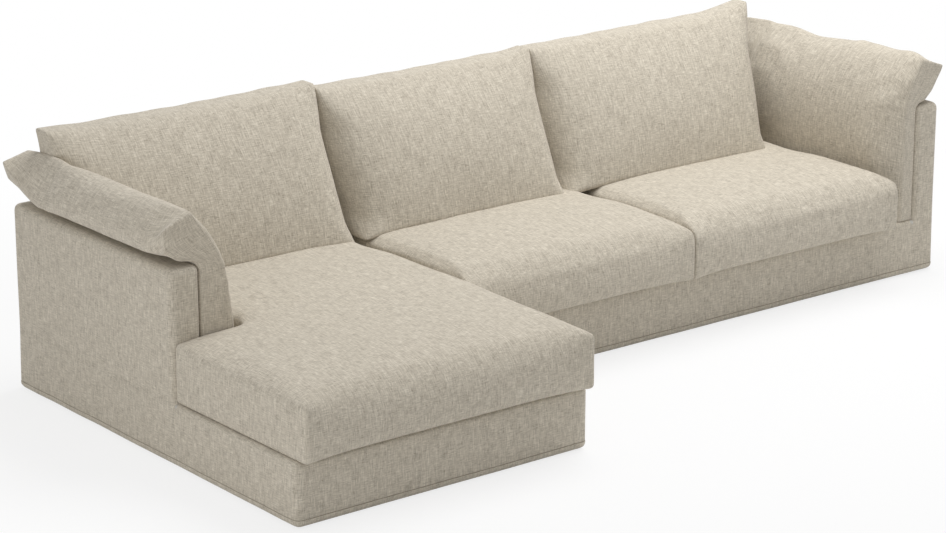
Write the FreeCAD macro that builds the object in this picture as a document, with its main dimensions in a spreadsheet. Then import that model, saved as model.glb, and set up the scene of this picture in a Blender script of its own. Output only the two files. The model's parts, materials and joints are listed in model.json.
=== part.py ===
import FreeCAD, Part
import math
import os
import re
import Sketcher

# Sectional sofa with a chaise, slipcovered in linen: two modules that lock together, and loose cushions.
# Frame: +Z up, -Y to the front, the chaise at -X. The origin lies on the floor at the middle of the
# sofa's width and depth. All lengths are in millimetres.

doc = FreeCAD.newDocument("sectional_sofa")

SIZES = {
    # whole sofa and its two modules
    "sofa_width": 3400.0,
    "chaise_width": 1135.0,
    "module_gap": 4.0,
    "chaise_depth": 1631.0,
    "couch_depth": 952.0,
    "chaise_arm_length": 962.0,
    "deck_height": 212.0,
    "arm_height": 650.0,
    "arm_thickness": 111.0,
    "back_thickness": 111.0,
    # slipcover
    "cover_thickness": 2.0,
    "fit_gap": 0.3,
    "corner_radius": 25.0,
    "deck_edge_radius": 12.0,
    "hem_gap": 7.0,
    "hem_width": 28.0,
    "hem_thickness": 1.0,
    # timber frame
    "rail_thickness": 24.0,
    "panel_thickness": 4.0,
    "frame_rail_height": 60.0,
    "post_width": 60.0,
    "block_width": 80.0,
    # feet, screws and lining cloth
    "glide_height": 19.2,
    "glide_radius": 20.0,
    "glide_foot_radius": 16.0,
    "glide_rim": 4.0,
    "head_recess_depth": 8.0,
    "head_recess_radius": 6.0,
    "lining_thickness": 0.8,
    "lining_lap": 11.0,
    "screw_radius": 2.5,
    "screw_length": 34.0,
    "screw_head_radius": 5.0,
    "screw_head_height": 3.0,
    "screw_clearance": 0.2,
    "plate_screw_inset": 12.0,
    # lock plates between the modules
    "plate_thickness": 3.0,
    "pin_plate_width": 44.0,
    "catch_plate_width": 88.0,
    "plate_gap": 1.0,
    "pin_radius": 5.0,
    "pin_height": 18.0,
    "pin_clearance": 1.0,
    "pin_inset": 26.0,
    "pin_edge": 14.0,
    "notch_clearance": 8.0,
    "notch_headroom": 1.0,
    "rear_lock_setback": 300.0,
    "front_lock_setback": 780.0,
    # woven webbing and deck pad
    "strap_width": 70.0,
    "strap_thickness": 1.6,
    "strap_gap": 0.2,
    "strap_pitch": 190.0,
    "strap_end_gap": 1.0,
    "strap_flat_margin": 3.0,
    "pad_thickness": 15.0,
    # seat cushions
    "chaise_overhang": 42.0,
    "couch_overhang": 67.0,
    "cushion_side_gap": 8.0,
    "chaise_wing_inset": 10.0,
    "chaise_wing_gap": 3.0,
    "cushion_joint_gap": 3.0,
    "cushion_lift": 0.4,
    "seat_edge_height": 400.0,
    "seat_mid_height": 410.0,
    "seat_crown": 19.0,
    "seat_end_crown": 9.0,
    "seat_edge_radius": 24.0,
    "seat_draw_in": 5.0,
    "seat_nose_depth": 34.0,
    "seat_nose_drop": 30.0,
    # back cushions
    "back_cushion_top": 922.0,
    "back_cushion_crown": 8.0,
    "back_cushion_depth": 346.0,
    "back_cushion_nose": 34.0,
    "back_top_front": 186.0,
    "back_top_rear": 52.0,
    "back_top_drop": 20.0,
    "back_lean_height": 640.0,
    "back_puff": 30.0,
    "back_pinch": 28.0,
    "back_ear_length": 90.0,
    "back_ear_share": 0.8,
    "left_back_inset": 65.0,
    "seam_joint_setback": 8.5,
    "right_joint_setback": 54.0,
    "back_joint_gap": 1.0,
    "right_back_inset": 230.0,
    # arm pillows
    "pillow_front_inset": 6.0,
    "pillow_rear_setback": 252.0,
    "pillow_thickness": 151.0,
    "pillow_clearance": 0.5,
    "pillow_top": 838.0,
    "pillow_overhang": 44.0,
    "pillow_flap_rise": 55.0,
    "pillow_swell": 20.0,
    "pillow_pinch": 8.0,
    "pillow_heel_radius": 8.0,
    "pillow_toe_radius": 20.0,
    "pillow_lean": 20.0,
    "pillow_shoulder": 94.0,
    "pillow_shoulder_rise": 25.0,
    "pillow_ridge_drop": 9.0,
    "pillow_lip_drop": 38.0,
    "pillow_arm_lap": 17.0,
    "pillow_arm_gap": 6.0,
    "pillow_full_from": 84.0,
    "pillow_settled_from": 140.0,
    "flap_reach": 62.0,
    "flap_rear_inset": 22.0,
    "flap_lap": 50.0,
    "back_pillow_gap": 2.0,
}

sheet = doc.addObject("Spreadsheet::Sheet", "Sizes")
for row, (alias, number) in enumerate(SIZES.items(), start=1):
    sheet.set(f"A{row}", alias)
    sheet.set(f"B{row}", str(number))
    sheet.setAlias(f"B{row}", alias)
doc.recompute()

# Places worked out from the sizes, each formula written once
layout = doc.addObject("App::VarSet", "Layout")
places = []


def named(formula):
    """Writes the bare names in a formula as references to the sheet and to the layout."""

    def full_name(match):
        word = match.group(0)
        if word in SIZES:
            return "Sizes." + word
        if word in places:
            return "Layout." + word
        return word

    return re.sub(r"[a-z][a-z0-9_]*", full_name, formula)


def place(name, formula):
    layout.addProperty("App::PropertyFloat", name, "Places")
    layout.setExpression(name, named(formula))
    places.append(name)


def value(name):
    """A size or a place as a number, for a shape that is worked out in code."""
    if name in SIZES:
        return float(sheet.get(name))
    return float(getattr(layout, name))


place("west_face", "-sofa_width / 2")
place("east_face", "sofa_width / 2")
place("seam", "west_face + chaise_width")
place("back_plane", "(chaise_depth + chaise_overhang) / 2")
place("chaise_east", "seam - module_gap / 2")
place("couch_west", "seam + module_gap / 2")
place("chaise_front", "back_plane - chaise_depth")
place("couch_front", "back_plane - couch_depth")
place("chaise_arm_front", "back_plane - chaise_arm_length")
place("back_inner_face", "back_plane - back_thickness")
place("chaise_arm_inner", "west_face + arm_thickness")
place("couch_arm_inner", "east_face - arm_thickness")
# layers under the slipcover, counted inwards from its outer face
place("skin", "cover_thickness + fit_gap")
place("foam_inner", "skin + rail_thickness - panel_thickness")
place("rail_inner", "skin + rail_thickness")
# heights of the base and of what lies on it
place("rail_bottom", "glide_height + lining_thickness")
place("strap_high", "strap_thickness + strap_gap")
place("web_stack", "2 * strap_thickness + 3 * strap_gap")
place("pad_top", "deck_height - skin")
place("pad_bottom", "pad_top - pad_thickness")
place("rail_top", "pad_bottom - web_stack")
place("ledge_bottom", "rail_top - frame_rail_height")
place("block_top", "rail_bottom + frame_rail_height")
place("panel_top", "arm_height - foam_inner")
place("post_top", "panel_top - frame_rail_height")
# turned pieces
place("screw_clear_radius", "screw_radius + screw_clearance")
place("screw_tip", "screw_head_height + screw_length")
place("pilot_depth", "glide_height + screw_length + pin_height")
place("screw_taper", "screw_tip - 2 * screw_radius")
place("glide_screw_seat", "head_recess_depth - screw_head_height")
# lock plates
place("plate_bottom", "glide_height - plate_thickness")
place("plate_screw_seat", "plate_bottom - screw_head_height")
place("lower_plate_top", "plate_bottom - plate_gap")
place("lower_plate_bottom", "lower_plate_top - plate_thickness")
place("pin_x", "chaise_east - rail_inner - pin_inset")
place("catch_plate_west", "pin_x - pin_inset")
place("pin_plate_west", "pin_x - pin_edge")
place("pin_plate_bend", "couch_west + skin")
place("pin_plate_east", "couch_west + rail_inner + pin_edge")
place("notch_top", "rail_bottom + notch_headroom")
# loose cushions
place("seat_bottom", "deck_height + cushion_lift")
place("cushion_rear", "back_inner_face - fit_gap")
place("chaise_cushion_west", "chaise_arm_inner + pillow_thickness + 2 * pillow_clearance")
place("chaise_cushion_east", "seam - cushion_side_gap")
place("chaise_wing_west", "west_face + chaise_wing_inset")
place("chaise_wing_rear", "chaise_arm_front - chaise_wing_gap")
place("chaise_cushion_front", "chaise_front - chaise_overhang")
place("couch_cushion_west", "couch_west + cushion_joint_gap / 2")
place("couch_cushion_east", "couch_arm_inner - pillow_thickness - 2 * pillow_clearance")
place("couch_cushion_front", "couch_front - couch_overhang")
place("cushion_joint", "(couch_cushion_west + couch_cushion_east) / 2")
place("middle_cushion_east", "cushion_joint - cushion_joint_gap / 2")
place("right_cushion_west", "cushion_joint + cushion_joint_gap / 2")
place("seat_rest_height", "seat_mid_height + seat_crown")
place("back_cushion_bottom", "seat_rest_height + fit_gap")
place("back_half_gap", "back_joint_gap / 2")
place("left_back_west", "west_face + left_back_inset")
place("left_back_east", "seam - seam_joint_setback - back_half_gap")
place("middle_back_west", "seam - seam_joint_setback + back_half_gap")
place("middle_back_east", "cushion_joint - right_joint_setback - back_half_gap")
place("right_back_west", "cushion_joint - right_joint_setback + back_half_gap")
place("right_back_east", "east_face - right_back_inset")
place("seat_level_to", "back_inner_face - back_cushion_depth")
doc.recompute()

nodes = {}


def add_node(label, thing):
    thing.Label = label
    nodes[label] = thing
    return thing


def bind(thing, target, formula):
    thing.setExpression(target, named(formula))


def solid_feature(label, shape):
    thing = doc.addObject("Part::Feature", label)
    thing.Shape = shape
    thing.Placement = FreeCAD.Placement()
    return add_node(label, thing)


def box(name, west, east, front, back, bottom, top):
    """A squared timber, sheet or block between six faces, each given as a formula."""
    thing = doc.addObject("Part::Box", name)
    bind(thing, "Length", f"({east}) - ({west})")
    bind(thing, "Width", f"({back}) - ({front})")
    bind(thing, "Height", f"({top}) - ({bottom})")
    bind(thing, "Placement.Base.x", west)
    bind(thing, "Placement.Base.y", front)
    bind(thing, "Placement.Base.z", bottom)
    return thing


def group(label, things):
    """One node for a set of like pieces, each still a solid of its own."""
    thing = doc.addObject("Part::Compound", label)
    thing.Links = things
    return add_node(label, thing)


def copies(label, pattern, spots):
    """One node of the same piece repeated at each spot."""
    return solid_feature(label, Part.makeCompound([pattern.translated(spot) for spot in spots]))


def vertical_edges(shape, y):
    """The upright edges of a box that stand in the plane at y."""
    found = []
    for number, edge in enumerate(shape.Edges, start=1):
        first, last = edge.Vertexes[0].Point, edge.Vertexes[-1].Point
        upright = abs(first.z - last.z) > 1.0
        if upright and abs(first.y - y) < 0.01:
            found.append(number)
    return found


def rounded_rail(label, timber, y):
    """A rail whose two outer upright corners are eased to lie inside the slipcover's corners."""
    doc.recompute()
    radius = value("corner_radius") - value("skin")
    thing = doc.addObject("Part::Fillet", label)
    thing.Base = timber
    thing.Edges = [(number, radius, radius) for number in vertical_edges(timber.Shape, y)]
    return add_node(label, thing)


def rounded_block(west, east, front, back, bottom, top, upright_radius, top_radius):
    """A block with its upright corners and then its top edge rounded, and a flat underside."""
    block = Part.makeBox(east - west, back - front, top - bottom, FreeCAD.Vector(west, front, bottom))
    uprights = [e for e in block.Edges if abs(e.Vertexes[0].Z - e.Vertexes[-1].Z) > 1.0]
    block = block.makeFillet(upright_radius, uprights)
    if top_radius:
        rim = [e for e in block.Edges if min(v.Z for v in e.Vertexes) > top - 0.01]
        block = block.makeFillet(top_radius, rim)
    return block


def profile_sketch(body, name, role, corners):
    """A closed outline whose corners stand at named distances from the sketch's two axes."""
    sketch = body.newObject("Sketcher::SketchObject", name)
    plane = [item for item in body.Origin.OriginFeatures if item.Role == role][0]
    sketch.AttachmentSupport = [(plane, "")]
    sketch.MapMode = "FlatFace"
    spots = [tuple(value(side) if side else 0.0 for side in corner) for corner in corners]
    for index, spot in enumerate(spots):
        following = spots[(index + 1) % len(spots)]
        line = Part.LineSegment(FreeCAD.Vector(*spot, 0), FreeCAD.Vector(*following, 0))
        sketch.addGeometry(line, False)
    for index, corner in enumerate(corners):
        before = (index - 1) % len(corners)
        sketch.addConstraint(Sketcher.Constraint("Coincident", before, 2, index, 1))
        for kind, side, axis, which in (("DistanceX", corner[0], -2, 0), ("DistanceY", corner[1], -1, 1)):
            if not side:
                sketch.addConstraint(Sketcher.Constraint("PointOnObject", index, 1, axis))
                continue
            distance = Sketcher.Constraint(kind, -1, 1, index, 1, spots[index][which])
            held = sketch.addConstraint(distance)
            sketch.setExpression(f"Constraints[{held}]", named(side))
    return sketch


def turned_body(name, corners):
    """A turned piece: half its outline, spun round the Z axis."""
    body = doc.addObject("PartDesign::Body", name)
    sketch = profile_sketch(body, name + "_outline", "XZ_Plane", corners)
    spin = body.newObject("PartDesign::Revolution", name + "_turning")
    spin.Profile = sketch
    spin.ReferenceAxis = (sketch, ["V_Axis"])
    spin.Angle = 360.0
    doc.recompute()
    return body


# The moulded glide under each foot block, hollowed for its screw's head
glide = turned_body(
    "glide_pattern",
    [
        ("head_recess_radius", 0),
        ("glide_foot_radius", 0),
        ("glide_radius", "glide_rim"),
        ("glide_radius", "glide_height"),
        ("screw_clear_radius", "glide_height"),
        ("screw_clear_radius", "head_recess_depth"),
        ("head_recess_radius", "head_recess_depth"),
    ],
)

# The pan head screw that holds the glides and the lock plates
screw = turned_body(
    "screw_pattern",
    [
        (0, 0),
        ("screw_head_radius", 0),
        ("screw_head_radius", "screw_head_height"),
        ("screw_radius", "screw_head_height"),
        ("screw_radius", "screw_taper"),
        (0, "screw_tip"),
    ],
)


def strap(along, start, end, across, crossings, high_first):
    """One webbing strap, woven over and under the straps that it crosses."""
    flat = value("strap_width") / 2 + value("strap_flat_margin")
    level = value("rail_top") + value("strap_gap")
    line = [(start, level)]
    for number, crossing in enumerate(crossings):
        over = (number % 2 == 0) == high_first
        height = level + (value("strap_high") if over else 0.0)
        line += [(crossing - flat, height), (crossing + flat, height)]
    line.append((end, level))
    thick = value("strap_thickness")
    loop = line + [(along_side, height + thick) for along_side, height in reversed(line)]
    near = across - value("strap_width") / 2
    if along == "x":
        points = [FreeCAD.Vector(travel, near, height) for travel, height in loop]
        sweep = FreeCAD.Vector(0, value("strap_width"), 0)
    else:
        points = [FreeCAD.Vector(near, travel, height) for travel, height in loop]
        sweep = FreeCAD.Vector(value("strap_width"), 0, 0)
    return Part.Face(Part.makePolygon(points + points[:1])).extrude(sweep)


def spread(low, high):
    """Evenly spaced strap centres between two rails, about one pitch apart."""
    count = max(2, int((high - low) / value("strap_pitch")))
    step = (high - low) / count
    return [low + (number + 0.5) * step for number in range(count)]


def webbing(label, west, east, front, back):
    """Interlaced straps: one set runs across the seat, the other from front to back."""
    rail = value("rail_thickness")
    rows = spread(front + rail, back - rail)
    columns = spread(west + rail, east - rail)
    end = value("strap_end_gap")
    straps = [
        strap("x", west + end, east - end, row, columns, number % 2 == 0)
        for number, row in enumerate(rows)
    ]
    straps += [
        strap("y", front + end, back - end, column, rows, number % 2 == 1)
        for number, column in enumerate(columns)
    ]
    return solid_feature(label, Part.makeCompound(straps))


def build_module(name, west, east, front, arm_front, arm_at_west, post_count, cross_rail_count):
    """The frame, lining, webbing, foam and slipcover of one module, which share its outline."""
    arm_outer, free_outer = (west, east) if arm_at_west else (east, west)
    inward, outward = ("+", "-") if arm_at_west else ("-", "+")
    side_names = (f"{name}_left_rail", f"{name}_right_rail")

    def from_arm(distance):
        return f"{arm_outer} {inward} ({distance})"

    def from_free(distance):
        return f"{free_outer} {outward} ({distance})"

    def ordered(arm_side, free_side):
        return (arm_side, free_side) if arm_at_west else (free_side, arm_side)

    # base rails, the ends of the front and rear ones eased at the corners
    long_sides = (f"{west} + skin", f"{east} - skin")
    heights = ("rail_bottom", "rail_top")
    front_timber = box(
        f"{name}_front_timber", *long_sides, f"{front} + skin", f"{front} + rail_inner", *heights
    )
    rounded_rail(f"{name}_front_rail", front_timber, value(front) + value("skin"))
    rear_timber = box(
        f"{name}_rear_timber", *long_sides, "back_plane - rail_inner", "back_plane - skin", *heights
    )
    rounded_rail(f"{name}_rear_rail", rear_timber, value("back_plane") - value("skin"))
    between = (f"{front} + rail_inner", "back_plane - rail_inner")
    left = box(side_names[0] + "_timber", f"{west} + skin", f"{west} + rail_inner", *between, *heights)
    right = box(side_names[1] + "_timber", f"{east} - rail_inner", f"{east} - skin", *between, *heights)

    # lock plates hang under the rail that faces the other module, on screws up into it
    lock_rail_x = f"{free_outer} {outward} (skin + rail_thickness / 2)"
    place(f"{name}_lock_rail_x", lock_rail_x)
    doc.recompute()
    plate_width = "catch_plate_width" if arm_at_west else "pin_plate_width"
    plate_screws = []
    for setback in ("rear_lock_setback", "front_lock_setback"):
        for turn in (-1, 1):
            offset = turn * (value(plate_width) / 2 - value("plate_screw_inset"))
            y = value("back_plane") - value(setback) + offset
            plate_screws.append(FreeCAD.Vector(value(f"{name}_lock_rail_x"), y, 0))
    hole = Part.makeCylinder(value("screw_clear_radius"), value("pilot_depth"))
    holes = doc.addObject("Part::Feature", f"{name}_lock_pilot_holes")
    holes.Shape = Part.makeCompound([hole.translated(spot) for spot in plate_screws])
    drilled = doc.addObject("Part::Cut", f"{name}_lock_rail_timber")
    drilled.Base, drilled.Tool = (right, holes) if arm_at_west else (left, holes)
    plain, plain_name, drilled_name = (left, *side_names) if arm_at_west else (right, *side_names[::-1])
    add_node(plain_name, plain)
    add_node(drilled_name, drilled)

    # ledges that take the strap ends beside the arm and in front of the back
    ledge_heights = ("ledge_bottom", "rail_top")
    rear_ledge = box(
        f"{name}_rear_ledge",
        *ordered(from_arm("arm_thickness - rail_inner"), from_free("rail_inner")),
        "back_inner_face - rail_thickness",
        "back_inner_face",
        *ledge_heights,
    )
    side_ledge = box(
        f"{name}_side_ledge",
        *ordered(from_arm("arm_thickness"), from_arm("arm_thickness + rail_thickness")),
        f"{front} + rail_inner",
        "back_inner_face - rail_thickness",
        *ledge_heights,
    )
    group(f"{name}_seat_rails", [rear_ledge, side_ledge])

    # low cross rails, and foot blocks in the corners and beside the middle cross rail
    low = ("rail_bottom", "block_top")
    sideways = arm_at_west
    cross_rails = []
    for number in range(1, cross_rail_count + 1):
        share = f"{number} / {cross_rail_count + 1}"
        if sideways:
            start = f"{front} + (back_plane - {front}) * {share}"
            spans = (f"{west} + rail_inner", f"{east} - rail_inner", start, f"{start} + rail_thickness")
        else:
            start = f"{west} + ({east} - {west}) * {share}"
            spans = (start, f"{start} + rail_thickness", *between)
        cross_rails.append(box(f"{name}_cross_rail_{number}", *spans, *low))
    group(f"{name}_cross_rails", cross_rails)

    inner, half = value("rail_inner"), value("block_width") / 2
    x_low, x_high = value(west) + inner + half, value(east) - inner - half
    y_low, y_high = value(front) + inner + half, value("back_plane") - inner - half
    spots = [(x_low, y_low), (x_high, y_low), (x_low, y_high), (x_high, y_high)]
    middle = (cross_rail_count + 1) // 2 / (cross_rail_count + 1)
    if sideways:
        beside = value(front) + (value("back_plane") - value(front)) * middle + value("rail_thickness") + half
        spots += [(x_low, beside), (x_high, beside)]
    else:
        beside = value(west) + (value(east) - value(west)) * middle + value("rail_thickness") + half
        spots += [(beside, y_low), (beside, y_high)]
    spots = [FreeCAD.Vector(x, y, 0) for x, y in spots]
    bottom = value("rail_bottom")
    block = Part.makeBox(2 * half, 2 * half, value("frame_rail_height"), FreeCAD.Vector(-half, -half, bottom))
    block = block.cut(hole)
    copies(f"{name}_foot_blocks", block, spots)
    copies(f"{name}_glides", glide.Shape, spots)
    seats = [spot + FreeCAD.Vector(0, 0, value("glide_screw_seat")) for spot in spots]
    seats += [spot + FreeCAD.Vector(0, 0, value("plate_screw_seat")) for spot in plate_screws]
    copies(f"{name}_screws", screw.Shape, seats)

    # lining cloth tacked under the rails, open at each screw and at the lock pins
    skin = value("skin")
    inset = inner - value("lining_lap")
    lining = Part.makeBox(
        value(east) - value(west) - 2 * inset,
        value("back_plane") - value(front) - 2 * inset,
        value("lining_thickness"),
        FreeCAD.Vector(value(west) + inset, value(front) + inset, value("glide_height")),
    )
    for spot in spots + plate_screws:
        lining = lining.cut(hole.translated(spot))
    if arm_at_west:
        pin_hole = Part.makeCylinder(value("pin_radius") + 2 * value("pin_clearance"), 2 * bottom)
        for setback in ("rear_lock_setback", "front_lock_setback"):
            y = value("back_plane") - value(setback)
            lining = lining.cut(pin_hole.translated(FreeCAD.Vector(value("pin_x"), y, 0)))
    solid_feature(f"{name}_lining", lining)

    # the webbing spans from the side ledge to the far rail and from the front rail to the rear ledge
    toward_free = 1 if arm_at_west else -1
    arm_x = value(arm_outer) + toward_free * value("arm_thickness")
    far_x = value(free_outer) - toward_free * skin
    web_west, web_east = min(arm_x, far_x), max(arm_x, far_x)
    webbing(f"{name}_webbing", web_west, web_east, value(front) + skin, value("back_inner_face"))

    def outline_block(part, inset, bottom, top_inset):
        """The base, arm or back as a rounded block, set in from the slipcover's outer face."""
        radius = value("corner_radius") - inset
        spans = {
            "base": (west, east, front, "back_plane", "deck_height"),
            "arm": (*ordered(arm_outer, f"{name}_arm_inner"), arm_front, "back_plane", "arm_height"),
            "back": (west, east, "back_inner_face", "back_plane", "arm_height"),
        }
        block_west, block_east, block_front, block_back, block_top = (value(face) for face in spans[part])
        top_radius = (value("deck_edge_radius") if part == "base" else value("corner_radius")) - inset
        return rounded_block(
            block_west + inset,
            block_east - inset,
            block_front + inset,
            block_back - inset,
            bottom,
            block_top - top_inset,
            radius,
            top_radius,
        )

    # deck pad over the webbing, inside the base's outline but clear of the arm and the back
    pad = outline_block("base", skin, value("pad_bottom"), skin)
    tall = value("arm_height")
    arm_keep_out = outline_block("arm", -skin, 0, -skin)
    back_keep_out = Part.makeBox(
        value(east) - value(west) + 2 * tall, tall, tall,
        FreeCAD.Vector(value(west) - tall, value("back_inner_face") - skin, 0),
    )
    solid_feature(f"{name}_deck_pad", pad.cut(arm_keep_out).cut(back_keep_out))

    # arm frame: two rails with posts between them
    arm_span = (f"{arm_front} + rail_inner", "back_inner_face")
    arm_width = ordered(from_arm("rail_inner"), from_arm("arm_thickness - rail_inner"))
    tiers = (("ledge_bottom", "rail_top"), ("post_top", "panel_top"))
    rails = [box(f"{name}_arm_timber_{n}", *arm_width, *arm_span, *tier) for n, tier in enumerate(tiers)]
    group(f"{name}_arm_rails", rails)
    post_spans = (
        (f"{arm_front} + rail_inner", f"{arm_front} + rail_inner + post_width"),
        ("back_inner_face - post_width", "back_inner_face"),
    )
    posts = [
        box(f"{name}_arm_post_{n}", *arm_width, *span, "rail_top", "post_top")
        for n, span in enumerate(post_spans)
    ]
    group(f"{name}_arm_posts", posts)

    # back frame: the same, across the module
    back_span = (f"{west} + rail_inner", f"{east} - rail_inner")
    back_depth = ("back_inner_face + rail_inner", "back_plane - rail_inner")
    rails = [box(f"{name}_back_timber_{n}", *back_span, *back_depth, *tier) for n, tier in enumerate(tiers)]
    group(f"{name}_back_rails", rails)
    posts = []
    for number in range(post_count):
        start = f"{west} + rail_inner + ({east} - {west} - 2 * rail_inner - post_width)"
        start = f"{start} * {number} / {post_count - 1}"
        posts.append(
            box(f"{name}_back_post_{number}", start, f"{start} + post_width", *back_depth, "rail_top", "post_top")
        )
    group(f"{name}_back_posts", posts)

    # hardboard on both sides of the arm frame and of the back frame
    board_heights = ("rail_top", "panel_top")
    outer_board = ordered(from_arm("foam_inner"), from_arm("rail_inner"))
    inner_board = ordered(from_arm("arm_thickness - rail_inner"), from_arm("arm_thickness - foam_inner"))
    boards = [
        box(f"{name}_arm_board_outer", *outer_board, *arm_span, *board_heights),
        box(f"{name}_arm_board_inner", *inner_board, *arm_span, *board_heights),
        box(
            f"{name}_back_board_outer",
            *back_span,
            "back_plane - rail_inner",
            "back_plane - foam_inner",
            *board_heights,
        ),
        box(
            f"{name}_back_board_inner",
            *back_span,
            "back_inner_face + foam_inner",
            "back_inner_face + rail_inner",
            *board_heights,
        ),
    ]
    group(f"{name}_panels", boards)

    # foam caps over both frames, open below
    deck = value("rail_top")
    foam = value("foam_inner")
    back_cavity = Part.makeBox(
        value(east) - value(west) - 2 * inner,
        value("back_thickness") - 2 * foam,
        value("panel_top") - deck,
        FreeCAD.Vector(value(west) + inner, value("back_inner_face") + foam, deck),
    )
    back_foam = outline_block("back", skin, deck, skin).cut(back_cavity)
    solid_feature(f"{name}_back_foam", back_foam)
    arm_low = min(value(arm_outer), value(f"{name}_arm_inner"))
    arm_cavity = Part.makeBox(
        value("arm_thickness") - 2 * foam,
        value("back_plane") - value(arm_front) - inner,
        value("panel_top") - deck,
        FreeCAD.Vector(arm_low + foam, value(arm_front) + inner, deck),
    )
    behind = Part.makeBox(
        3 * value("arm_thickness"),
        2 * value("back_thickness"),
        tall,
        FreeCAD.Vector(
            arm_low - value("arm_thickness"), value("back_inner_face") + skin - value("fit_gap"), deck
        ),
    )
    arm_foam = outline_block("arm", skin, deck, skin).cut(arm_cavity).cut(behind)
    solid_feature(f"{name}_arm_foam", arm_foam)

    # slipcover: one skin over the base, arm and back, with a folded hem, open below
    thick = value("cover_thickness")
    hem = value("hem_gap")
    outside = outline_block("base", 0, hem, 0)
    for part in ("arm", "back"):
        outside = outside.fuse(outline_block(part, 0, hem, 0))
    fold = value("hem_thickness")
    outside = outside.fuse(
        rounded_block(
            value(west) - fold,
            value(east) + fold,
            value(front) - fold,
            value("back_plane") + fold,
            hem,
            hem + value("hem_width"),
            value("corner_radius") + fold,
            0,
        )
    )
    inside = outline_block("base", thick, 0, thick)
    for part in ("arm", "back"):
        inside = inside.fuse(outline_block(part, thick, 0, thick))
    cover = outside.removeSplitter().cut(inside.removeSplitter())
    for setback in ("rear_lock_setback", "front_lock_setback"):
        reach = value("pin_plate_width") + 2 * value("notch_clearance")
        corner = FreeCAD.Vector(
            value(free_outer) - value("rail_thickness") / 2,
            value("back_plane") - value(setback) - reach / 2,
            0,
        )
        notch = Part.makeBox(value("rail_thickness"), reach, value("notch_top"), corner)
        cover = cover.cut(notch)
    solid_feature(f"{name}_slipcover", cover)


build_module("chaise", "west_face", "chaise_east", "chaise_front", "chaise_arm_front", True, 3, 2)
build_module("couch", "couch_west", "east_face", "couch_front", "couch_front", False, 4, 3)


def lock_spots():
    rear = value("back_plane") - value("rear_lock_setback")
    front = value("back_plane") - value("front_lock_setback")
    return [FreeCAD.Vector(0, rear, 0), FreeCAD.Vector(0, front, 0)]


def plate_screw_holes(plate, x, width):
    """Drills a plate for its two screws, which stand side by side along the rail."""
    offset = width / 2 - value("plate_screw_inset")
    drill = Part.makeCylinder(value("screw_clear_radius"), 2 * value("glide_height"))
    for turn in (-1, 1):
        plate = plate.cut(drill.translated(FreeCAD.Vector(x, turn * offset, 0)))
    return plate


def build_lock_plates():
    """Pin plates under the couch's rail reach below the chaise's, whose catch plates drop over the pins."""
    wide = value("catch_plate_width")
    catch = Part.makeBox(
        value("chaise_east") - value("skin") - value("catch_plate_west"),
        wide,
        value("plate_thickness"),
        FreeCAD.Vector(value("catch_plate_west"), -wide / 2, value("plate_bottom")),
    )
    eye = Part.makeCylinder(value("pin_radius") + value("pin_clearance"), 2 * value("glide_height"))
    catch = catch.cut(eye.translated(FreeCAD.Vector(value("pin_x"), 0, 0)))
    catch = plate_screw_holes(catch, value("chaise_lock_rail_x"), wide)
    copies("chaise_lock_plates", catch, lock_spots())

    wide = value("pin_plate_width")
    corners = [
        ("pin_plate_west", "lower_plate_bottom"),
        ("chaise_east", "lower_plate_bottom"),
        ("pin_plate_bend", "plate_bottom"),
        ("pin_plate_east", "plate_bottom"),
        ("pin_plate_east", "glide_height"),
        ("pin_plate_bend", "glide_height"),
        ("chaise_east", "lower_plate_top"),
        ("pin_plate_west", "lower_plate_top"),
    ]
    points = [FreeCAD.Vector(value(x), -wide / 2, value(z)) for x, z in corners]
    bent = Part.Face(Part.makePolygon(points + points[:1])).extrude(FreeCAD.Vector(0, wide, 0))
    pin = Part.makeCylinder(
        value("pin_radius"),
        value("pin_height"),
        FreeCAD.Vector(value("pin_x"), 0, value("lower_plate_top")),
    )
    pin = pin.makeChamfer(value("pin_clearance"), [pin.Edges[0]])
    bent = plate_screw_holes(bent.fuse(pin), value("couch_lock_rail_x"), wide)
    copies("couch_lock_plates", bent, lock_spots())


build_lock_plates()


def arc(start, middle, end):
    return Part.Arc(start, middle, end).toShape()


def line(start, end):
    return Part.LineSegment(start, end).toShape()


def chambers(label, form, x_cuts=(), y_cuts=(), z_cuts=()):
    """One node of separate chambers or blocks, parted by a thin seam at each cut."""
    bounds = form.BoundBox
    reach = bounds.DiagonalLength
    edges = []
    for low, cuts, high in (
        (bounds.XMin, x_cuts, bounds.XMax),
        (bounds.YMin, y_cuts, bounds.YMax),
        (bounds.ZMin, z_cuts, bounds.ZMax),
    ):
        stops = [low - reach, *sorted(cuts), high + reach]
        edges.append(list(zip(stops, stops[1:])))
    found = []
    for x_span in edges[0]:
        for y_span in edges[1]:
            for z_span in edges[2]:
                room = grown_box((*x_span, *y_span, *z_span), -value("fit_gap") / 2)
                found += form.common(room).Solids
    solid_feature(label, Part.makeCompound(found))


def grown_box(spans, gap):
    """A box between six faces, moved outwards by a gap on every side."""
    west, east, front, rear, bottom, top = spans
    corner = FreeCAD.Vector(west - gap, front - gap, bottom - gap)
    return Part.makeBox(east - west + 2 * gap, rear - front + 2 * gap, top - bottom + 2 * gap, corner)


def cover_and_filling(name, core_name, form_at, x_cuts=(), y_cuts=(), z_cuts=()):
    """A sewn cover as a thin shell, and the filling inside it; form_at gives the form at an inset."""
    wall = value("cover_thickness")
    filling_inset = wall + value("fit_gap")
    solid_feature(name, form_at(0).cut(form_at(wall)))
    chambers(core_name, form_at(filling_inset), x_cuts, y_cuts, z_cuts)


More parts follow.
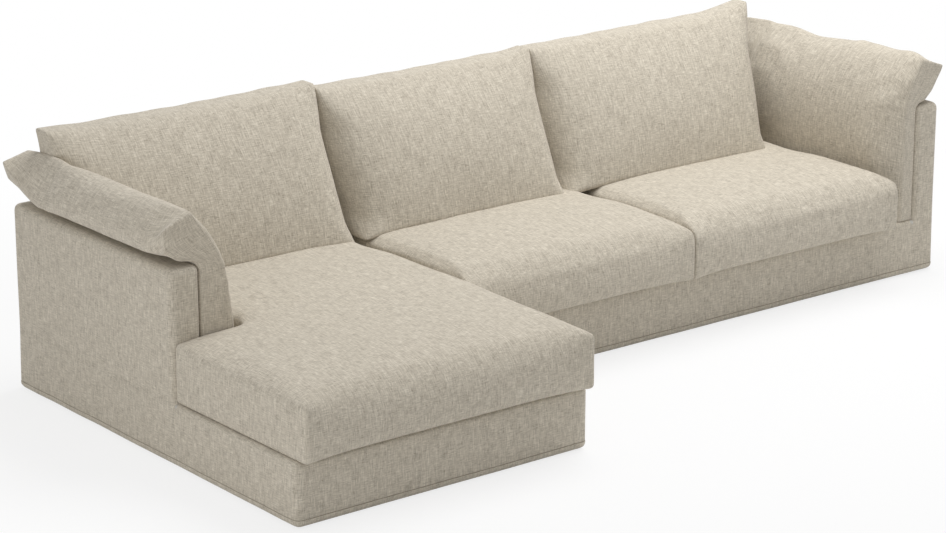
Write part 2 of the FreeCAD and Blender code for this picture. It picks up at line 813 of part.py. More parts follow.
def seat_section(y, west, east, bottom, edge, crown, soft):
    """A seat cushion's cross-section: flat below, soft at the corners and crowned on top."""
    bend = soft * (1 - math.sqrt(0.5))

    def point(x, z):
        return FreeCAD.Vector(x, y, z)

    middle = point((west + east) / 2, edge + crown)
    return Part.Wire(
        [
            line(point(west + soft, bottom), point(east - soft, bottom)),
            arc(point(east - soft, bottom), point(east - bend, bottom + bend), point(east, bottom + soft)),
            line(point(east, bottom + soft), point(east, edge - soft)),
            arc(point(east, edge - soft), point(east - bend, edge - bend), point(east - soft, edge)),
            arc(point(east - soft, edge), middle, point(west + soft, edge)),
            arc(point(west + soft, edge), point(west + bend, edge - bend), point(west, edge - soft)),
            line(point(west, edge - soft), point(west, bottom + soft)),
            arc(point(west, bottom + soft), point(west + bend, bottom + bend), point(west + soft, bottom)),
        ]
    )


def seat_form(west, east, front, inset):
    """A cushion that is level under the back cushion, draws in at its sides and rounds off at its front."""
    rear, level = value("cushion_rear"), value("seat_level_to")
    west, east, front, rear = west + inset, east - inset, front + inset, rear - inset
    bottom = value("seat_bottom") + inset
    depth, drop, draw = value("seat_nose_depth"), value("seat_nose_drop"), value("seat_draw_in")
    soft = value("seat_edge_radius") - inset
    high_edge, crown = value("seat_mid_height") - inset, value("seat_crown")
    front_edge, front_crown = value("seat_edge_height") - inset, value("seat_end_crown")
    end = front + depth
    third = (end - level) / 3
    middles = [
        seat_section(y, west + draw, east - draw, bottom, high_edge, crown, soft)
        for y in (level + third, level + 2 * third)
    ]
    level_section = seat_section(level, west, east, bottom, high_edge, crown, soft)
    rear_section = seat_section(rear, west, east, bottom, high_edge, crown, soft)
    nose = []
    for degrees in (0, 30, 60, 88):
        angle = math.radians(degrees)
        tuck = 1 - math.cos(angle)
        nose.append(
            seat_section(
                end - depth * math.sin(angle),
                west + tuck * depth / 2,
                east - tuck * depth / 2,
                bottom + tuck * drop / 2,
                front_edge - tuck * drop,
                front_crown * (1 - tuck / 2),
                soft,
            )
        )
    return Part.makeLoft([rear_section, level_section, *middles, *nose], True, True)


def couch_seat_cushion(label, west, east):
    """A loose seat cushion: its cover and the soft block that fills it."""

    def form_at(inset):
        return seat_form(value(west), value(east), value("couch_cushion_front"), inset)

    cover_and_filling(f"{label}_cushion", f"{label}_core", form_at)


couch_seat_cushion("middle_seat", "couch_cushion_west", "middle_cushion_east")
couch_seat_cushion("right_seat", "right_cushion_west", "couch_cushion_east")


def chaise_seat_cushion():
    """The long cushion: behind the arm's front it is narrower, by the arm and the pillow."""
    wing_west, east, front = value("chaise_wing_west"), value("chaise_cushion_east"), value("chaise_cushion_front")
    west, wing_rear, plane = value("chaise_cushion_west"), value("chaise_wing_rear"), value("back_plane")
    arm_room = (value("west_face") - value("arm_thickness"), west, wing_rear, plane, 0, value("arm_height"))

    def form_at(inset):
        return seat_form(wing_west, east, front, inset).cut(grown_box(arm_room, inset))

    wing_joint = west + value("cover_thickness") + value("fit_gap")
    cover_and_filling("chaise_seat_cushion", "chaise_seat_core", form_at, x_cuts=[wing_joint])


chaise_seat_cushion()


def back_section(x, puff, pinch, crown, inset):
    """A back cushion's side view: it stands on the seat and leans back over the frame."""
    plane = value("back_plane")
    rear = value("back_thickness") + value("fit_gap") + inset
    bottom, top = value("back_cushion_bottom") + inset, value("back_cushion_top") - inset
    nose, drop = value("back_cushion_nose") - inset, value("back_top_drop")
    bend = nose * (1 - math.sqrt(0.5))
    front = value("back_thickness") + value("back_cushion_depth") - pinch - inset
    top_front = value("back_top_front") - pinch - inset
    top_rear = value("back_top_rear") + inset
    lean = value("back_lean_height")

    def point(forward, z):
        return FreeCAD.Vector(x, plane - forward, z)

    belly = point((front + top_front) / 2 + puff, (bottom + nose + top - drop) / 2 + puff / 3)
    return Part.Wire(
        [
            line(point(rear, bottom), point(front - nose, bottom)),
            arc(point(front - nose, bottom), point(front - bend, bottom + bend), point(front, bottom + nose)),
            arc(point(front, bottom + nose), belly, point(top_front, top - drop)),
            arc(
                point(top_front, top - drop),
                point((top_front + top_rear) / 2, top + crown),
                point(top_rear, top - drop),
            ),
            line(point(top_rear, top - drop), point(rear, lean)),
            line(point(rear, lean), point(rear, bottom)),
        ]
    )


def back_cushion(label, west, east, trims, x_cuts, core_trims=()):
    """A boxed feather cushion: full at its middle, pinched towards its two ears, in sewn chambers."""
    west, east = value(west), value(east)
    puff, pinch, crown = value("back_puff"), value("back_pinch"), value("back_cushion_crown")
    ear, filling_inset = value("back_ear_length"), value("cover_thickness") + value("fit_gap")
    near_full = value("back_ear_share")

    def form_at(inset):
        sections = [
            back_section(west + inset, puff / 3, pinch, 0, inset),
            back_section(west + ear, puff * near_full, pinch * (1 - near_full), crown / 2, inset),
            back_section((west + east) / 2, puff, 0, crown, inset),
            back_section(east - ear, puff * near_full, pinch * (1 - near_full), crown / 2, inset),
            back_section(east - inset, puff / 3, pinch, 0, inset),
        ]
        form = Part.makeLoft(sections, True, False)
        for spans in trims:
            form = form.cut(grown_box(spans, inset))
        if inset == filling_inset:
            for spans in core_trims:
                form = form.cut(grown_box(spans, 0))
        return form

    chamber_seam = value("arm_height") + value("pillow_clearance") + filling_inset
    cover_and_filling(f"{label}_cushion", f"{label}_core", form_at, x_cuts=x_cuts, z_cuts=[chamber_seam])


def pillow_room(west, east):
    """The room that an arm pillow's hanging half needs beside a back cushion."""
    plane = value("back_plane")
    rear = plane - value("pillow_rear_setback") + value("back_pillow_gap")
    return (west, east, plane - 2 * value("couch_depth"), rear, 0, 2 * value("arm_height"))


def build_back_cushions():
    filling_inset = value("cover_thickness") + value("fit_gap")
    gap, plane, tall = value("pillow_clearance"), value("back_plane"), 2 * value("arm_height")
    chaise_edge, couch_edge = value("chaise_cushion_west"), value("couch_cushion_east")
    past_arm = value("arm_thickness")

    arm_room = (
        value("west_face") - past_arm,
        value("chaise_arm_inner") + gap,
        value("chaise_arm_front"),
        plane,
        0,
        value("arm_height") + gap,
    )
    left_room = [pillow_room(value("west_face") - past_arm, chaise_edge), arm_room]
    back_cushion("left_back", "left_back_west", "left_back_east", left_room, [chaise_edge + filling_inset])

    # the middle cushion stands clear of the chaise's back, so that the chaise can be lifted
    chaise_back = (
        value("left_back_west"),
        value("chaise_east") + gap,
        value("back_inner_face") - gap,
        plane + past_arm,
        0,
        tall,
    )
    seam_strip = (value("left_back_west"), value("couch_west"), plane - tall, plane + tall, 0, tall)
    back_cushion("middle_back", "middle_back_west", "middle_back_east", [chaise_back], [], [seam_strip])

    right_room = [pillow_room(couch_edge, value("east_face") + past_arm)]
    back_cushion("right_back", "right_back_west", "right_back_east", right_room, [couch_edge - filling_inset])


build_back_cushions()


def pillow_section(point, pinch, swell, inset):
    """An arm pillow's cross-section: it hangs inside the arm to the deck and folds out over its top."""
    arm, edge = value("arm_thickness"), value("corner_radius")
    near = arm + value("pillow_clearance") + inset
    far = arm + value("pillow_thickness") - pinch - inset
    bottom, top = value("seat_bottom") + inset, value("pillow_top") - pinch - inset
    over_arm, seat = value("arm_height") + inset, value("seat_rest_height")
    lip = -value("pillow_overhang") + pinch + inset
    under = over_arm + value("pillow_flap_rise")
    heel, toe = value("pillow_heel_radius"), value("pillow_toe_radius")
    heel_bend, toe_bend = heel * (1 - math.sqrt(0.5)), toe * (1 - math.sqrt(0.5))
    lean, rise = value("pillow_lean"), value("pillow_shoulder_rise")
    shoulder_x = arm + value("pillow_shoulder") + swell / 2 - inset
    shoulder_z = value("arm_height") + rise - inset
    ridge_drop, lip_drop = value("pillow_ridge_drop"), value("pillow_lip_drop")
    inner_edge = arm - value("pillow_arm_lap")
    lift = value("pillow_arm_gap")
    return Part.Wire(
        [
            line(point(near + heel, bottom), point(far - toe, bottom)),
            arc(point(far - toe, bottom), point(far - toe_bend, bottom + toe_bend), point(far, bottom + toe)),
            line(point(far, bottom + toe), point(far, seat)),
            arc(
                point(far, seat),
                point(far - lean + swell, (seat + shoulder_z) / 2),
                point(shoulder_x, shoulder_z),
            ),
            arc(
                point(shoulder_x, shoulder_z),
                point((shoulder_x + arm / 2) / 2 + lean, (shoulder_z + top) / 2 + lean / 2),
                point(arm / 2, top - ridge_drop),
            ),
            arc(
                point(arm / 2, top - ridge_drop),
                point((arm / 2 + lip) / 2, top - ridge_drop / 4),
                point(lip + heel / 2, top - lip_drop),
            ),
            arc(
                point(lip + heel / 2, top - lip_drop),
                point(lip, (under + top - lip_drop) / 2),
                point(lip + heel / 2, under),
            ),
            arc(
                point(lip + heel / 2, under),
                point(arm / 4, over_arm + 3 * lift),
                point(inner_edge, over_arm + lift),
            ),
            arc(
                point(inner_edge, over_arm + lift),
                point(near - edge / 5, over_arm - edge / 5),
                point(near, over_arm - edge),
            ),
            line(point(near, over_arm - edge), point(near, bottom + heel)),
            arc(point(near, bottom + heel), point(near + heel_bend, bottom + heel_bend), point(near + heel, bottom)),
        ]
    )


def flap_section(point, pinch, inset):
    """The pillow's narrow rear end, which only lies over the arm's top beside the back cushion."""
    over_arm = value("arm_height") + inset
    top = value("pillow_top") - pinch - inset
    lip = -value("pillow_overhang") + pinch + inset
    reach = value("flap_reach") - pinch - inset
    under = over_arm + value("pillow_flap_rise")
    heel, lift, lip_drop = value("pillow_heel_radius"), value("pillow_arm_gap"), value("pillow_lip_drop")
    return Part.Wire(
        [
            arc(
                point(lip + heel / 2, under),
                point(reach / 3, over_arm + 3 * lift),
                point(reach - heel, over_arm + lift),
            ),
            arc(
                point(reach - heel, over_arm + lift),
                point(reach, (over_arm + top) / 2 - heel),
                point(reach - heel, top - lip_drop / 2),
            ),
            arc(
                point(reach - heel, top - lip_drop / 2),
                point(reach / 3, top),
                point(lip + heel / 2, top - lip_drop),
            ),
            arc(
                point(lip + heel / 2, top - lip_drop),
                point(lip, (under + top - lip_drop) / 2),
                point(lip + heel / 2, under),
            ),
        ]
    )


def arm_pillow(label, arm_outer, arm_front, way):
    """A soft pillow draped over one arm; way is 1 where the sofa lies towards +X of that arm."""
    outer = value(arm_outer)
    front = value(arm_front) + value("pillow_front_inset")
    rear = value("back_plane") - value("pillow_rear_setback")
    flap_start = rear - value("flap_lap")
    flap_end = value("back_plane") - value("flap_rear_inset")
    pinch, swell = value("pillow_pinch"), value("pillow_swell")

    def plane(y):
        return lambda x, z: FreeCAD.Vector(outer + way * x, y, z)

    def form_at(inset):
        first, last = front + inset, rear - inset
        full = first + value("pillow_full_from")
        middle = (first + last) / 2
        settled = last - value("pillow_settled_from")
        hanging = Part.makeLoft(
            [
                pillow_section(plane(first), pinch, 0, inset),
                pillow_section(plane(full), pinch / 4, swell / 2, inset),
                pillow_section(plane(middle), 0, swell, inset),
                pillow_section(plane(settled), 0, swell / 4, inset),
                pillow_section(plane(last), pinch / 2, 0, inset),
            ],
            True,
            True,
        )
        flap = Part.makeLoft(
            [
                flap_section(plane(flap_start + inset), pinch / 2, inset),
                flap_section(plane((flap_start + flap_end) / 2), 0, inset),
                flap_section(plane(flap_end - inset), pinch, inset),
            ],
            True,
            True,
        )
        return hanging.fuse(flap)

    filling_inset = value("cover_thickness") + value("fit_gap")
    fold = outer + way * (value("arm_thickness") + value("pillow_clearance") + filling_inset)
    name = f"{label}_pillow"
    cover_and_filling(name, f"{name}_core", form_at, x_cuts=[fold], y_cuts=[rear - filling_inset])


arm_pillow("left_arm", "west_face", "chaise_arm_front", 1)
arm_pillow("right_arm", "east_face", "couch_front", -1)

doc.recompute()

for thing in doc.Objects:
    if "Invalid" in thing.State or "Error" in thing.State:
        raise RuntimeError(f"{thing.Name} failed: {thing.State}")
for label, thing in nodes.items():
    if thing.Shape.isNull() or not thing.Shape.isValid() or not thing.Shape.Solids:
        raise RuntimeError(f"{label} has no sound solid")

os.makedirs("parts", exist_ok=True)
for label, thing in nodes.items():
    thing.Shape.exportStep(f"parts/{label}.step")
print(f"{len(nodes)} nodes written")
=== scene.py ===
import json
import math

import bmesh
import bpy
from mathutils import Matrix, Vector, noise


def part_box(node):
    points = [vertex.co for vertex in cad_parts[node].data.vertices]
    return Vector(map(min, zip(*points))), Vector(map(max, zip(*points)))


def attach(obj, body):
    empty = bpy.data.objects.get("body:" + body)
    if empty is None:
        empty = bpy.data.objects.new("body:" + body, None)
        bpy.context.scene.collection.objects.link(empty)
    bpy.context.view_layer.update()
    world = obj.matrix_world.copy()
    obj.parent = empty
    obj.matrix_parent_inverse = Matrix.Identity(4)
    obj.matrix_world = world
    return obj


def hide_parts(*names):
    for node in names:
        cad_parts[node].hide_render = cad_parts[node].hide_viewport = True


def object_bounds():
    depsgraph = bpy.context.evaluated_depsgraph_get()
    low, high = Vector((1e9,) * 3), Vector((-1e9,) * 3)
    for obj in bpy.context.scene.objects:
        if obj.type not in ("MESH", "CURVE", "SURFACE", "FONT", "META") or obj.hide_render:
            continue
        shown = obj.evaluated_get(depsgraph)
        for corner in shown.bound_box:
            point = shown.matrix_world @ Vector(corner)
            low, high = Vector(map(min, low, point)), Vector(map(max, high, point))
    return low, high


# A slipcovered linen sectional sofa with a chaise. Metres, +Z up, -Y to the front, the chaise at -X.

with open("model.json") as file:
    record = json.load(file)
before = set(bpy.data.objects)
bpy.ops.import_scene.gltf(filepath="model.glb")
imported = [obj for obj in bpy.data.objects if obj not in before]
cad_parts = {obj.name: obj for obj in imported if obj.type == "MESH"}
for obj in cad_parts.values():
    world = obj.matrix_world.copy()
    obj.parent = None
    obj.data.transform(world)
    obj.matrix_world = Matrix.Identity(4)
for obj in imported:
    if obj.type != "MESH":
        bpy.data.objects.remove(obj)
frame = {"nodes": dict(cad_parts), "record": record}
cad_low, cad_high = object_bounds()

# Axes of a place, and the two sides along one
X, Y, Z = range(3)
LOW, HIGH = -1, 1

# How far the cover stands off the pieces under it
SKIN = 0.0023


def outer_faces(name):
    """The outer faces of one module's slipcover, from the pieces that it covers."""
    arm_low, arm_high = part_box(f"{name}_arm_foam")
    back_low, back_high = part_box(f"{name}_back_foam")
    front_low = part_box(f"{name}_front_rail")[0]
    return {
        "west": back_low.x - SKIN,
        "east": back_high.x + SKIN,
        "front": front_low.y - SKIN,
        "rear": back_high.y + SKIN,
        "arm_west": arm_low.x - SKIN,
        "arm_east": arm_high.x + SKIN,
        "arm_front": arm_low.y - SKIN,
        "back_inner": back_low.y - SKIN,
        "deck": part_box(f"{name}_deck_pad")[1].z + SKIN,
        "top": arm_high.z + SKIN,
    }


CHAISE = outer_faces("chaise")
COUCH = outer_faces("couch")
BACK_PLANE = COUCH["rear"]

# Slipcover
HEM_GAP = 0.003
HEM_LINE = 0.030
HEM_SEAM = 0.002
HEM_STEP = 0.0012
SKIRT_LEVELS = (0.06, 0.085, 0.11, 0.135, 0.16, 0.185)
ARM_RADIUS = 0.022
DECK_RADIUS = 0.013
COVER_THICKNESS = 0.002
COVER_GRID = 0.022
SKIRT_WAVE = 0.0050
SKIRT_WAVE_SIZE = 0.22
COVER_RIPPLE = 0.0012
COVER_RIPPLE_SIZE = 0.13
CORNER_ANGLE = math.radians(60)
TOUCHING = 0.001
APART = 0.01

# Cushions
CELL = 0.014
WIDE_CELL = 1.2 * CELL
SIM_FRAMES = 16
SIM_CAP = 0.012
SIDE_PLAY = 0.001
# The settings of the cloth that fills the covers
FILLING = {
    "quality": 4,
    "mass": 0.3,
    "tension_stiffness": 12.0,
    "compression_stiffness": 12.0,
    "bending_stiffness": 0.4,
    "use_pressure": True,
    "uniform_pressure_force": 4.0,
    "vertex_group_mass": "held",
}

# Seat cushions
SEAT_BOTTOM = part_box("middle_seat_cushion")[0].z
SEAT_LEVEL = 0.43
SEAT_SIDE_RADIUS = 0.014
SEAT_NOSE_RADIUS = 0.060
SEAT_NOSE_END = 0.048
SEAT_SEAM_RADIUS = 0.010
SEAT_LIP_RADIUS = 0.020
SEAT_CROWN = 0.016
SEAT_SEAM_DROP = 0.008
SEAT_MERGE = 0.0015
SEAT_SWELL = 0.010
SEAT_SIDE_RISE = 0.012
SEAT_RISE_LENGTH = 0.30
SEAT_BELLY = 0.012
SEAT_LIP_RISE = 0.014
SEAT_LIP_LENGTH = 0.1
SEAT_LUMPS = 0.003
SEAT_LUMP_SIZE = 0.22
SEAT_SIDE_LUMP_SIZE = 0.2

# How far the chaise's seat leaves room beside the arm and before it
NOTCH_MORE = 0.152
NOTCH_GAP = 0.003

# Where the seats give way under the back cushions, from their rear
SINK_FROM = 0.345
SINK_OVER = 0.22

# Back cushions: radii of their edges, and distances forward from the back plane
BACK_THICKNESS = 0.20
BACK_SIDE_RADIUS = 0.100
BACK_EAST_SHARE = 0.7
BACK_TOP_RADIUS = 0.055
BACK_SEAM_RADIUS = 0.006
BACK_REAR_RADIUS = 0.030
BACK_REAR_SIDE_RADIUS = 0.012
BACK_FOOT_RADIUS = 0.020
BACK_FOOT_SIDE_RADIUS = 0.018
BACK_SINK = 0.010
BACK_TOP_DROP = 0.020
BACK_FOOT_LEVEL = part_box("middle_back_cushion")[0].z
BACK_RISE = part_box("middle_back_cushion")[1].z - BACK_FOOT_LEVEL
BACK_REST = 0.115
BACK_FOOT = 0.452
BACK_TOP_REAR = 0.055
BACK_TOP_FRONT = 0.176
EAR_REAR = 0.030
EAR_FRONT = 0.020
BACK_PUFF = 0.040
BACK_LUMPS = 0.006
BACK_LUMP_SIZE = 0.17
BACK_SIDE_BULGE = 0.004
BACK_TOP_WAVE = 0.005
BACK_TOP_WAVE_SIZE = 0.12
BACK_FOOT_DROP = 0.015

# Arm pillows
PILLOW_HEIGHT = 0.68
PILLOW_THICKNESS = 0.14
PILLOW_FOOT = 0.2125
ARM_FACE = 0.1135
ARM_EDGE = 0.640
SEAT_SIDE_LEVELS = (PILLOW_FOOT, 0.320, 0.450, 0.570)
PILLOW_REAR_GAP = 0.024
PILLOW_SETBACK = 0.006
PILLOW_RIDGE = 0.026
PILLOW_SEAM_RADIUS = 0.004
PILLOW_FACE_RADIUS = 0.010
PILLOW_BACK_RADIUS = 0.006
FOLD_LENGTH = 0.015
FLAP_SHARES = (0.70, 0.62)
FRONT_PINCH = 0.11
REAR_TUCK = 0.026
REAR_TUCK_LENGTH = 0.26
REAR_TUCK_TOP = 0.56
REAR_TUCK_OVER = 0.10
PILLOW_SWELL = 0.012
PILLOW_SWELL_OVER = 0.08
PILLOW_LUMPS = 0.006
PILLOW_LUMP_SIZE = 0.13
PILLOW_PUCKER = 0.008
PILLOW_PUCKER_SIZE = 0.030
PILLOW_TOP_WAVE = 0.006
DIP_PLACE = 0.70
DIP_REACH = 0.32

# What holds the cushions while they fill: shares, levels, and lengths from the named faces
HELD = 1.0
NEARLY_HELD = 0.8
SEAT_HELD_HEIGHT = 0.03
SEAM_REACH_X = 0.016
SEAM_REACH_Y = 0.022
BACK_HELD_OVER = 0.88
BACK_HELD_UNDER = 0.45
BACK_HELD_DEPTH = 0.14
ARM_HELD_MORE = 0.006
ARM_HELD_UNDER = 0.70
PILLOW_HELD_DEPTH = 0.27
PILLOW_HELD_FRONT = 0.03

# Camera and light
CAMERA_PLACE = (-6.7352, -8.0911, 3.5992)
CAMERA_YAW = math.radians(38.0098)
CAMERA_PITCH = math.radians(17.3690)
CAMERA_LENS = 120.976
WORLD_LIGHT = 0.52
FLOOR_WHITE = 0.78
SHADOW_FADES_FROM = 1.9
SHADOW_FADES_TO = 3.2


class Socket:
    """A node's output, with arithmetic that adds Math nodes."""

    def __init__(self, nodes, output):
        self.nodes = nodes
        self.output = output

    def math(self, operation, first, second):
        return self.nodes.add("ShaderNodeMath", {"operation": operation}, [first, second])

    def __add__(self, other):
        return self.math("ADD", self, other)

    def __radd__(self, other):
        return self.math("ADD", other, self)

    def __sub__(self, other):
        return self.math("SUBTRACT", self, other)

    def __rsub__(self, other):
        return self.math("SUBTRACT", other, self)

    def __mul__(self, other):
        return self.math("MULTIPLY", self, other)

    def __rmul__(self, other):
        return self.math("MULTIPLY", other, self)

    def __abs__(self):
        return self.math("ABSOLUTE", self, 0.0)


class Nodes:
    """A node tree that grows by calls."""

    def __init__(self, tree):
        self.tree = tree

    def add(self, kind, settings=None, inputs=(), output=0):
        """A node of any type: its settings first, then its inputs by order or by name."""
        node = self.tree.nodes.new(kind)
        for name, setting in (settings or {}).items():
            setattr(node, name, setting)
        pairs = inputs.items() if isinstance(inputs, dict) else enumerate(inputs)
        for key, source in pairs:
            if isinstance(source, Socket):
                self.tree.links.new(source.output, node.inputs[key])
            else:
                node.inputs[key].default_value = source
        return Socket(self, node.outputs[output])

    def link(self, source, node, socket):
        self.tree.links.new(source.output, self.tree.nodes[node].inputs[socket])

    def seen_directly(self):
        """1 for the rays that show the backdrop: from the camera, mirrored or refracted."""
        rays = self.tree.nodes.new("ShaderNodeLightPath")
        seen = Socket(self, rays.outputs["Is Camera Ray"])
        for name in ("Is Glossy Ray", "Is Transmission Ray"):
            seen = seen.math("MAXIMUM", seen, Socket(self, rays.outputs[name]))
        return seen


class Shader(Nodes):
    """A node material with one Principled BSDF."""

    def __init__(self, name, **constants):
        self.material = bpy.data.materials.new(name)
        self.material.use_nodes = True
        super().__init__(self.material.node_tree)
        self.surface = self.tree.nodes["Principled BSDF"]
        for socket, number in constants.items():
            self.surface.inputs[socket.replace("_", " ")].default_value = number

    def feed(self, socket, source):
        self.tree.links.new(source.output, self.surface.inputs[socket])

    def mix(self, share, first, second):
        """Two colours mixed by a share."""
        first, second = [end if isinstance(end, Socket) else (*end, 1.0) for end in (first, second)]
        return self.add("ShaderNodeMix", {"data_type": "RGBA"}, {0: share, 6: first, 7: second}, 2)

    def place(self):
        return self.add("ShaderNodeTexCoord", None, [], "Object")

    def ramp(self, source, low, high):
        """The source spread from 0 at low to 1 at high, and held there."""
        inputs = {"Value": source, "From Min": low, "From Max": high}
        return self.add("ShaderNodeMapRange", {"interpolation_type": "SMOOTHSTEP"}, inputs)

    def noise(self, vector, scale, detail, roughness):
        inputs = {"Vector": vector, "Scale": scale, "Detail": detail, "Roughness": roughness}
        return self.add("ShaderNodeTexNoise", None, inputs)

    def shifted(self, vector, shift):
        return self.add("ShaderNodeVectorMath", {"operation": "ADD"}, [vector, (shift, shift, shift)])

    def stretched(self, vector, scale):
        return self.add("ShaderNodeVectorMath", {"operation": "MULTIPLY"}, [vector, scale])

    def bump(self, height, strength, distance):
        inputs = {"Strength": strength, "Distance": distance, "Height": height}
        return self.add("ShaderNodeBump", None, inputs)


def linear(red, green, blue):
    """A colour given in the screen's 0 to 255 values, as linear light."""
    def one(level):
        share = level / 255
        return share / 12.92 if share <= 0.04045 else ((share + 0.055) / 1.055) ** 2.4

    return (one(red), one(green), one(blue))


LINEN_BASE = linear(186, 177, 161)
LINEN_PALE = linear(228, 220, 204)
LINEN_DARK = linear(138, 129, 115)
# The hem's dark line colour: partly its stitches, partly painted shade in the groove of the hem's seam
HEM_STITCH_AND_SHADE = linear(128, 119, 103)

# The linen's thick yarns run along both ways of the cloth, and fine ones between them
SLUB_SCALES = (((30.0, 330.0, 1.0), 0.0), ((300.0, 28.0, 1.0), 7.3))
SLUB_SPREAD = (0.50, 0.72)
SLUB_SHARE = 0.46
SLUB_HEIGHT = 1.5
YARN_SCALES = ((60.0, 480.0, 1.0), (480.0, 60.0, 1.0))
YARN_SPREAD = (0.85, 1.2)
YARN_SHARE = 0.35
PATCH_SCALE = 26.0
PATCH_SPREAD = (0.48, 0.72)
PATCH_SHARE = 0.30
# Width, softness and strength of the hem's dark line: its stitches, with the seam groove's shade painted in
STITCH_AND_SHADE_HALF_WIDTH = 0.0016
STITCH_AND_SHADE_SOFTNESS = 0.0008
STITCH_AND_SHADE_SHARE = 0.75
LINEN_BUMP = (0.35, 0.0012)


def linen(name, hem=False):
    """Slubby linen: long pale and dark yarns both ways over a fine plain weave."""
    shader = Shader(name, Roughness=0.92, Specular_IOR_Level=0.25, Sheen_Weight=0.15, Sheen_Roughness=0.6)
    cloth = shader.add("ShaderNodeUVMap", {"uv_map": "weave"})
    slubs = []
    for scale, shift in SLUB_SCALES:
        slubs.append(shader.noise(shader.stretched(shader.shifted(cloth, shift), scale), 1.0, 2.0, 0.55))
    yarns = []
    for scale in YARN_SCALES:
        yarns.append(shader.noise(shader.stretched(cloth, scale), 1.0, 1.0, 0.5))
    patches = shader.noise(cloth, PATCH_SCALE, 3.0, 0.6)
    pale = shader.ramp(slubs[0], *SLUB_SPREAD) + shader.ramp(slubs[1], *SLUB_SPREAD)
    dark = shader.ramp(1.0 - slubs[0], *SLUB_SPREAD) + shader.ramp(1.0 - slubs[1], *SLUB_SPREAD)
    colour = shader.mix(pale * SLUB_SHARE, LINEN_BASE, LINEN_PALE)
    colour = shader.mix(dark * SLUB_SHARE, colour, LINEN_DARK)
    colour = shader.mix(shader.ramp(patches, *PATCH_SPREAD) * PATCH_SHARE, colour, LINEN_DARK)
    colour = shader.mix(shader.ramp(yarns[0] + yarns[1], *YARN_SPREAD) * YARN_SHARE, colour, LINEN_PALE)
    # The hem's line is darkened: its stitches, and painted shade in the groove where the hem's seam sinks in
    if hem:
        level = shader.add("ShaderNodeSeparateXYZ", None, [shader.place()], "Z")
        stitch_and_shade = shader.ramp(STITCH_AND_SHADE_HALF_WIDTH - abs(level - HEM_LINE), 0.0, STITCH_AND_SHADE_SOFTNESS)
        colour = shader.mix(stitch_and_shade * STITCH_AND_SHADE_SHARE, colour, HEM_STITCH_AND_SHADE)
    height = yarns[0] + yarns[1] + slubs[0] * SLUB_HEIGHT + slubs[1] * SLUB_HEIGHT
    shader.feed("Base Color", colour)
    shader.feed("Roughness", 0.84 + yarns[0] * 0.14)
    shader.feed("Normal", shader.bump(height, *LINEN_BUMP))
    return shader.material


COVER_LINEN = linen("cover_linen", hem=True)
CUSHION_LINEN = linen("cushion_linen")


def limited(number):
    return min(1.0, max(0.0, number))


def ripple(x, y, z, size, seed):
    """A smooth random height from -1 to 1, with features of about that size."""
    return noise.noise(Vector((x / size + seed, y / size, z / size)))


def recalculated(bm):
    """Merges doubles, then turns all faces outwards."""
    bmesh.ops.remove_doubles(bm, verts=bm.verts, dist=1e-5)
    bmesh.ops.recalc_face_normals(bm, faces=bm.faces)


def as_object(name, bm):
    mesh = bpy.data.meshes.new(name)
    bm.to_mesh(mesh)
    bm.free()
    thing = bpy.data.objects.new(name, mesh)
    bpy.context.scene.collection.objects.link(thing)
    return thing


def apply_modifiers(thing):
    graph = bpy.context.evaluated_depsgraph_get()
    graph.update()
    mesh = bpy.data.meshes.new_from_object(thing.evaluated_get(graph))
    thing.modifiers.clear()
    old, thing.data = thing.data, mesh
    bpy.data.meshes.remove(old)


def dress(thing, material):
    thing.data.materials.clear()
    thing.data.materials.append(material)


def shade(thing, material):
    dress(thing, material)
    for face in thing.data.polygons:
        face.use_smooth = True


def plan_face(bm, west, east, front, rear, level):
    """A flat rectangle, ready to be cut and drawn up."""
    corners = bmesh.ops.create_grid(bm, x_segments=1, y_segments=1, size=0.5)["verts"]
    bmesh.ops.scale(bm, vec=(east - west, rear - front, 1.0), verts=corners)
    bmesh.ops.translate(bm, vec=((west + east) / 2, (front + rear) / 2, level), verts=corners)


def cut(bm, axis, place):
    spot, normal = Vector(), Vector()
    spot[axis], normal[axis] = place, 1.0
    geometry = bm.verts[:] + bm.edges[:] + bm.faces[:]
    bmesh.ops.bisect_plane(bm, geom=geometry, dist=1e-6, plane_co=spot, plane_no=normal)


def cut_evenly(bm, axis, low, high, spacing):
    count = max(1, round((high - low) / spacing))
    for number in range(1, count):
        cut(bm, axis, low + (high - low) * number / count)


def draw_up(bm, faces, height, keep=False):
    """Extrudes the faces upwards and gives the new ones on top."""
    made = bmesh.ops.extrude_face_region(bm, geom=faces, use_keep_orig=keep)["geom"]
    verts = [item for item in made if isinstance(item, bmesh.types.BMVert)]
    bmesh.ops.translate(bm, vec=(0.0, 0.0, height), verts=verts)
    return [item for item in made if isinstance(item, bmesh.types.BMFace)]


def is_convex(edge):
    return len(edge.link_faces) == 2 and edge.is_convex and edge.calc_face_angle(0.0) > CORNER_ANGLE


def lies_at(edge, level):
    return all(abs(vert.co.z - level) < TOUCHING for vert in edge.verts)


def round_edges(bm, edges, radius, segments):
    bmesh.ops.bevel(
        bm,
        geom=edges,
        offset=radius,
        segments=segments,
        profile=0.5,
        affect="EDGES",
        material=-1,
        clamp_overlap=False,
    )


def cover_block(faces):
    """A module's outer form: its base, with the arm and the back on it."""
    bm = bmesh.new()
    plan_face(bm, faces["west"], faces["east"], faces["front"], faces["rear"], HEM_GAP)
    arm_at_west = faces["arm_west"] - faces["west"] < APART
    cut(bm, X, faces["arm_east"] if arm_at_west else faces["arm_west"])
    cut(bm, Y, faces["back_inner"])
    if faces["arm_front"] - faces["front"] > APART:
        cut(bm, Y, faces["arm_front"])
    tops = draw_up(bm, bm.faces[:], faces["deck"] - HEM_GAP)
    raised = []
    for face in tops:
        centre = face.calc_center_median()
        over_arm = faces["arm_west"] < centre.x < faces["arm_east"] and centre.y > faces["arm_front"]
        if over_arm or centre.y > faces["back_inner"]:
            raised.append(face)
    draw_up(bm, raised, faces["top"] - faces["deck"])
    recalculated(bm)
    return bm


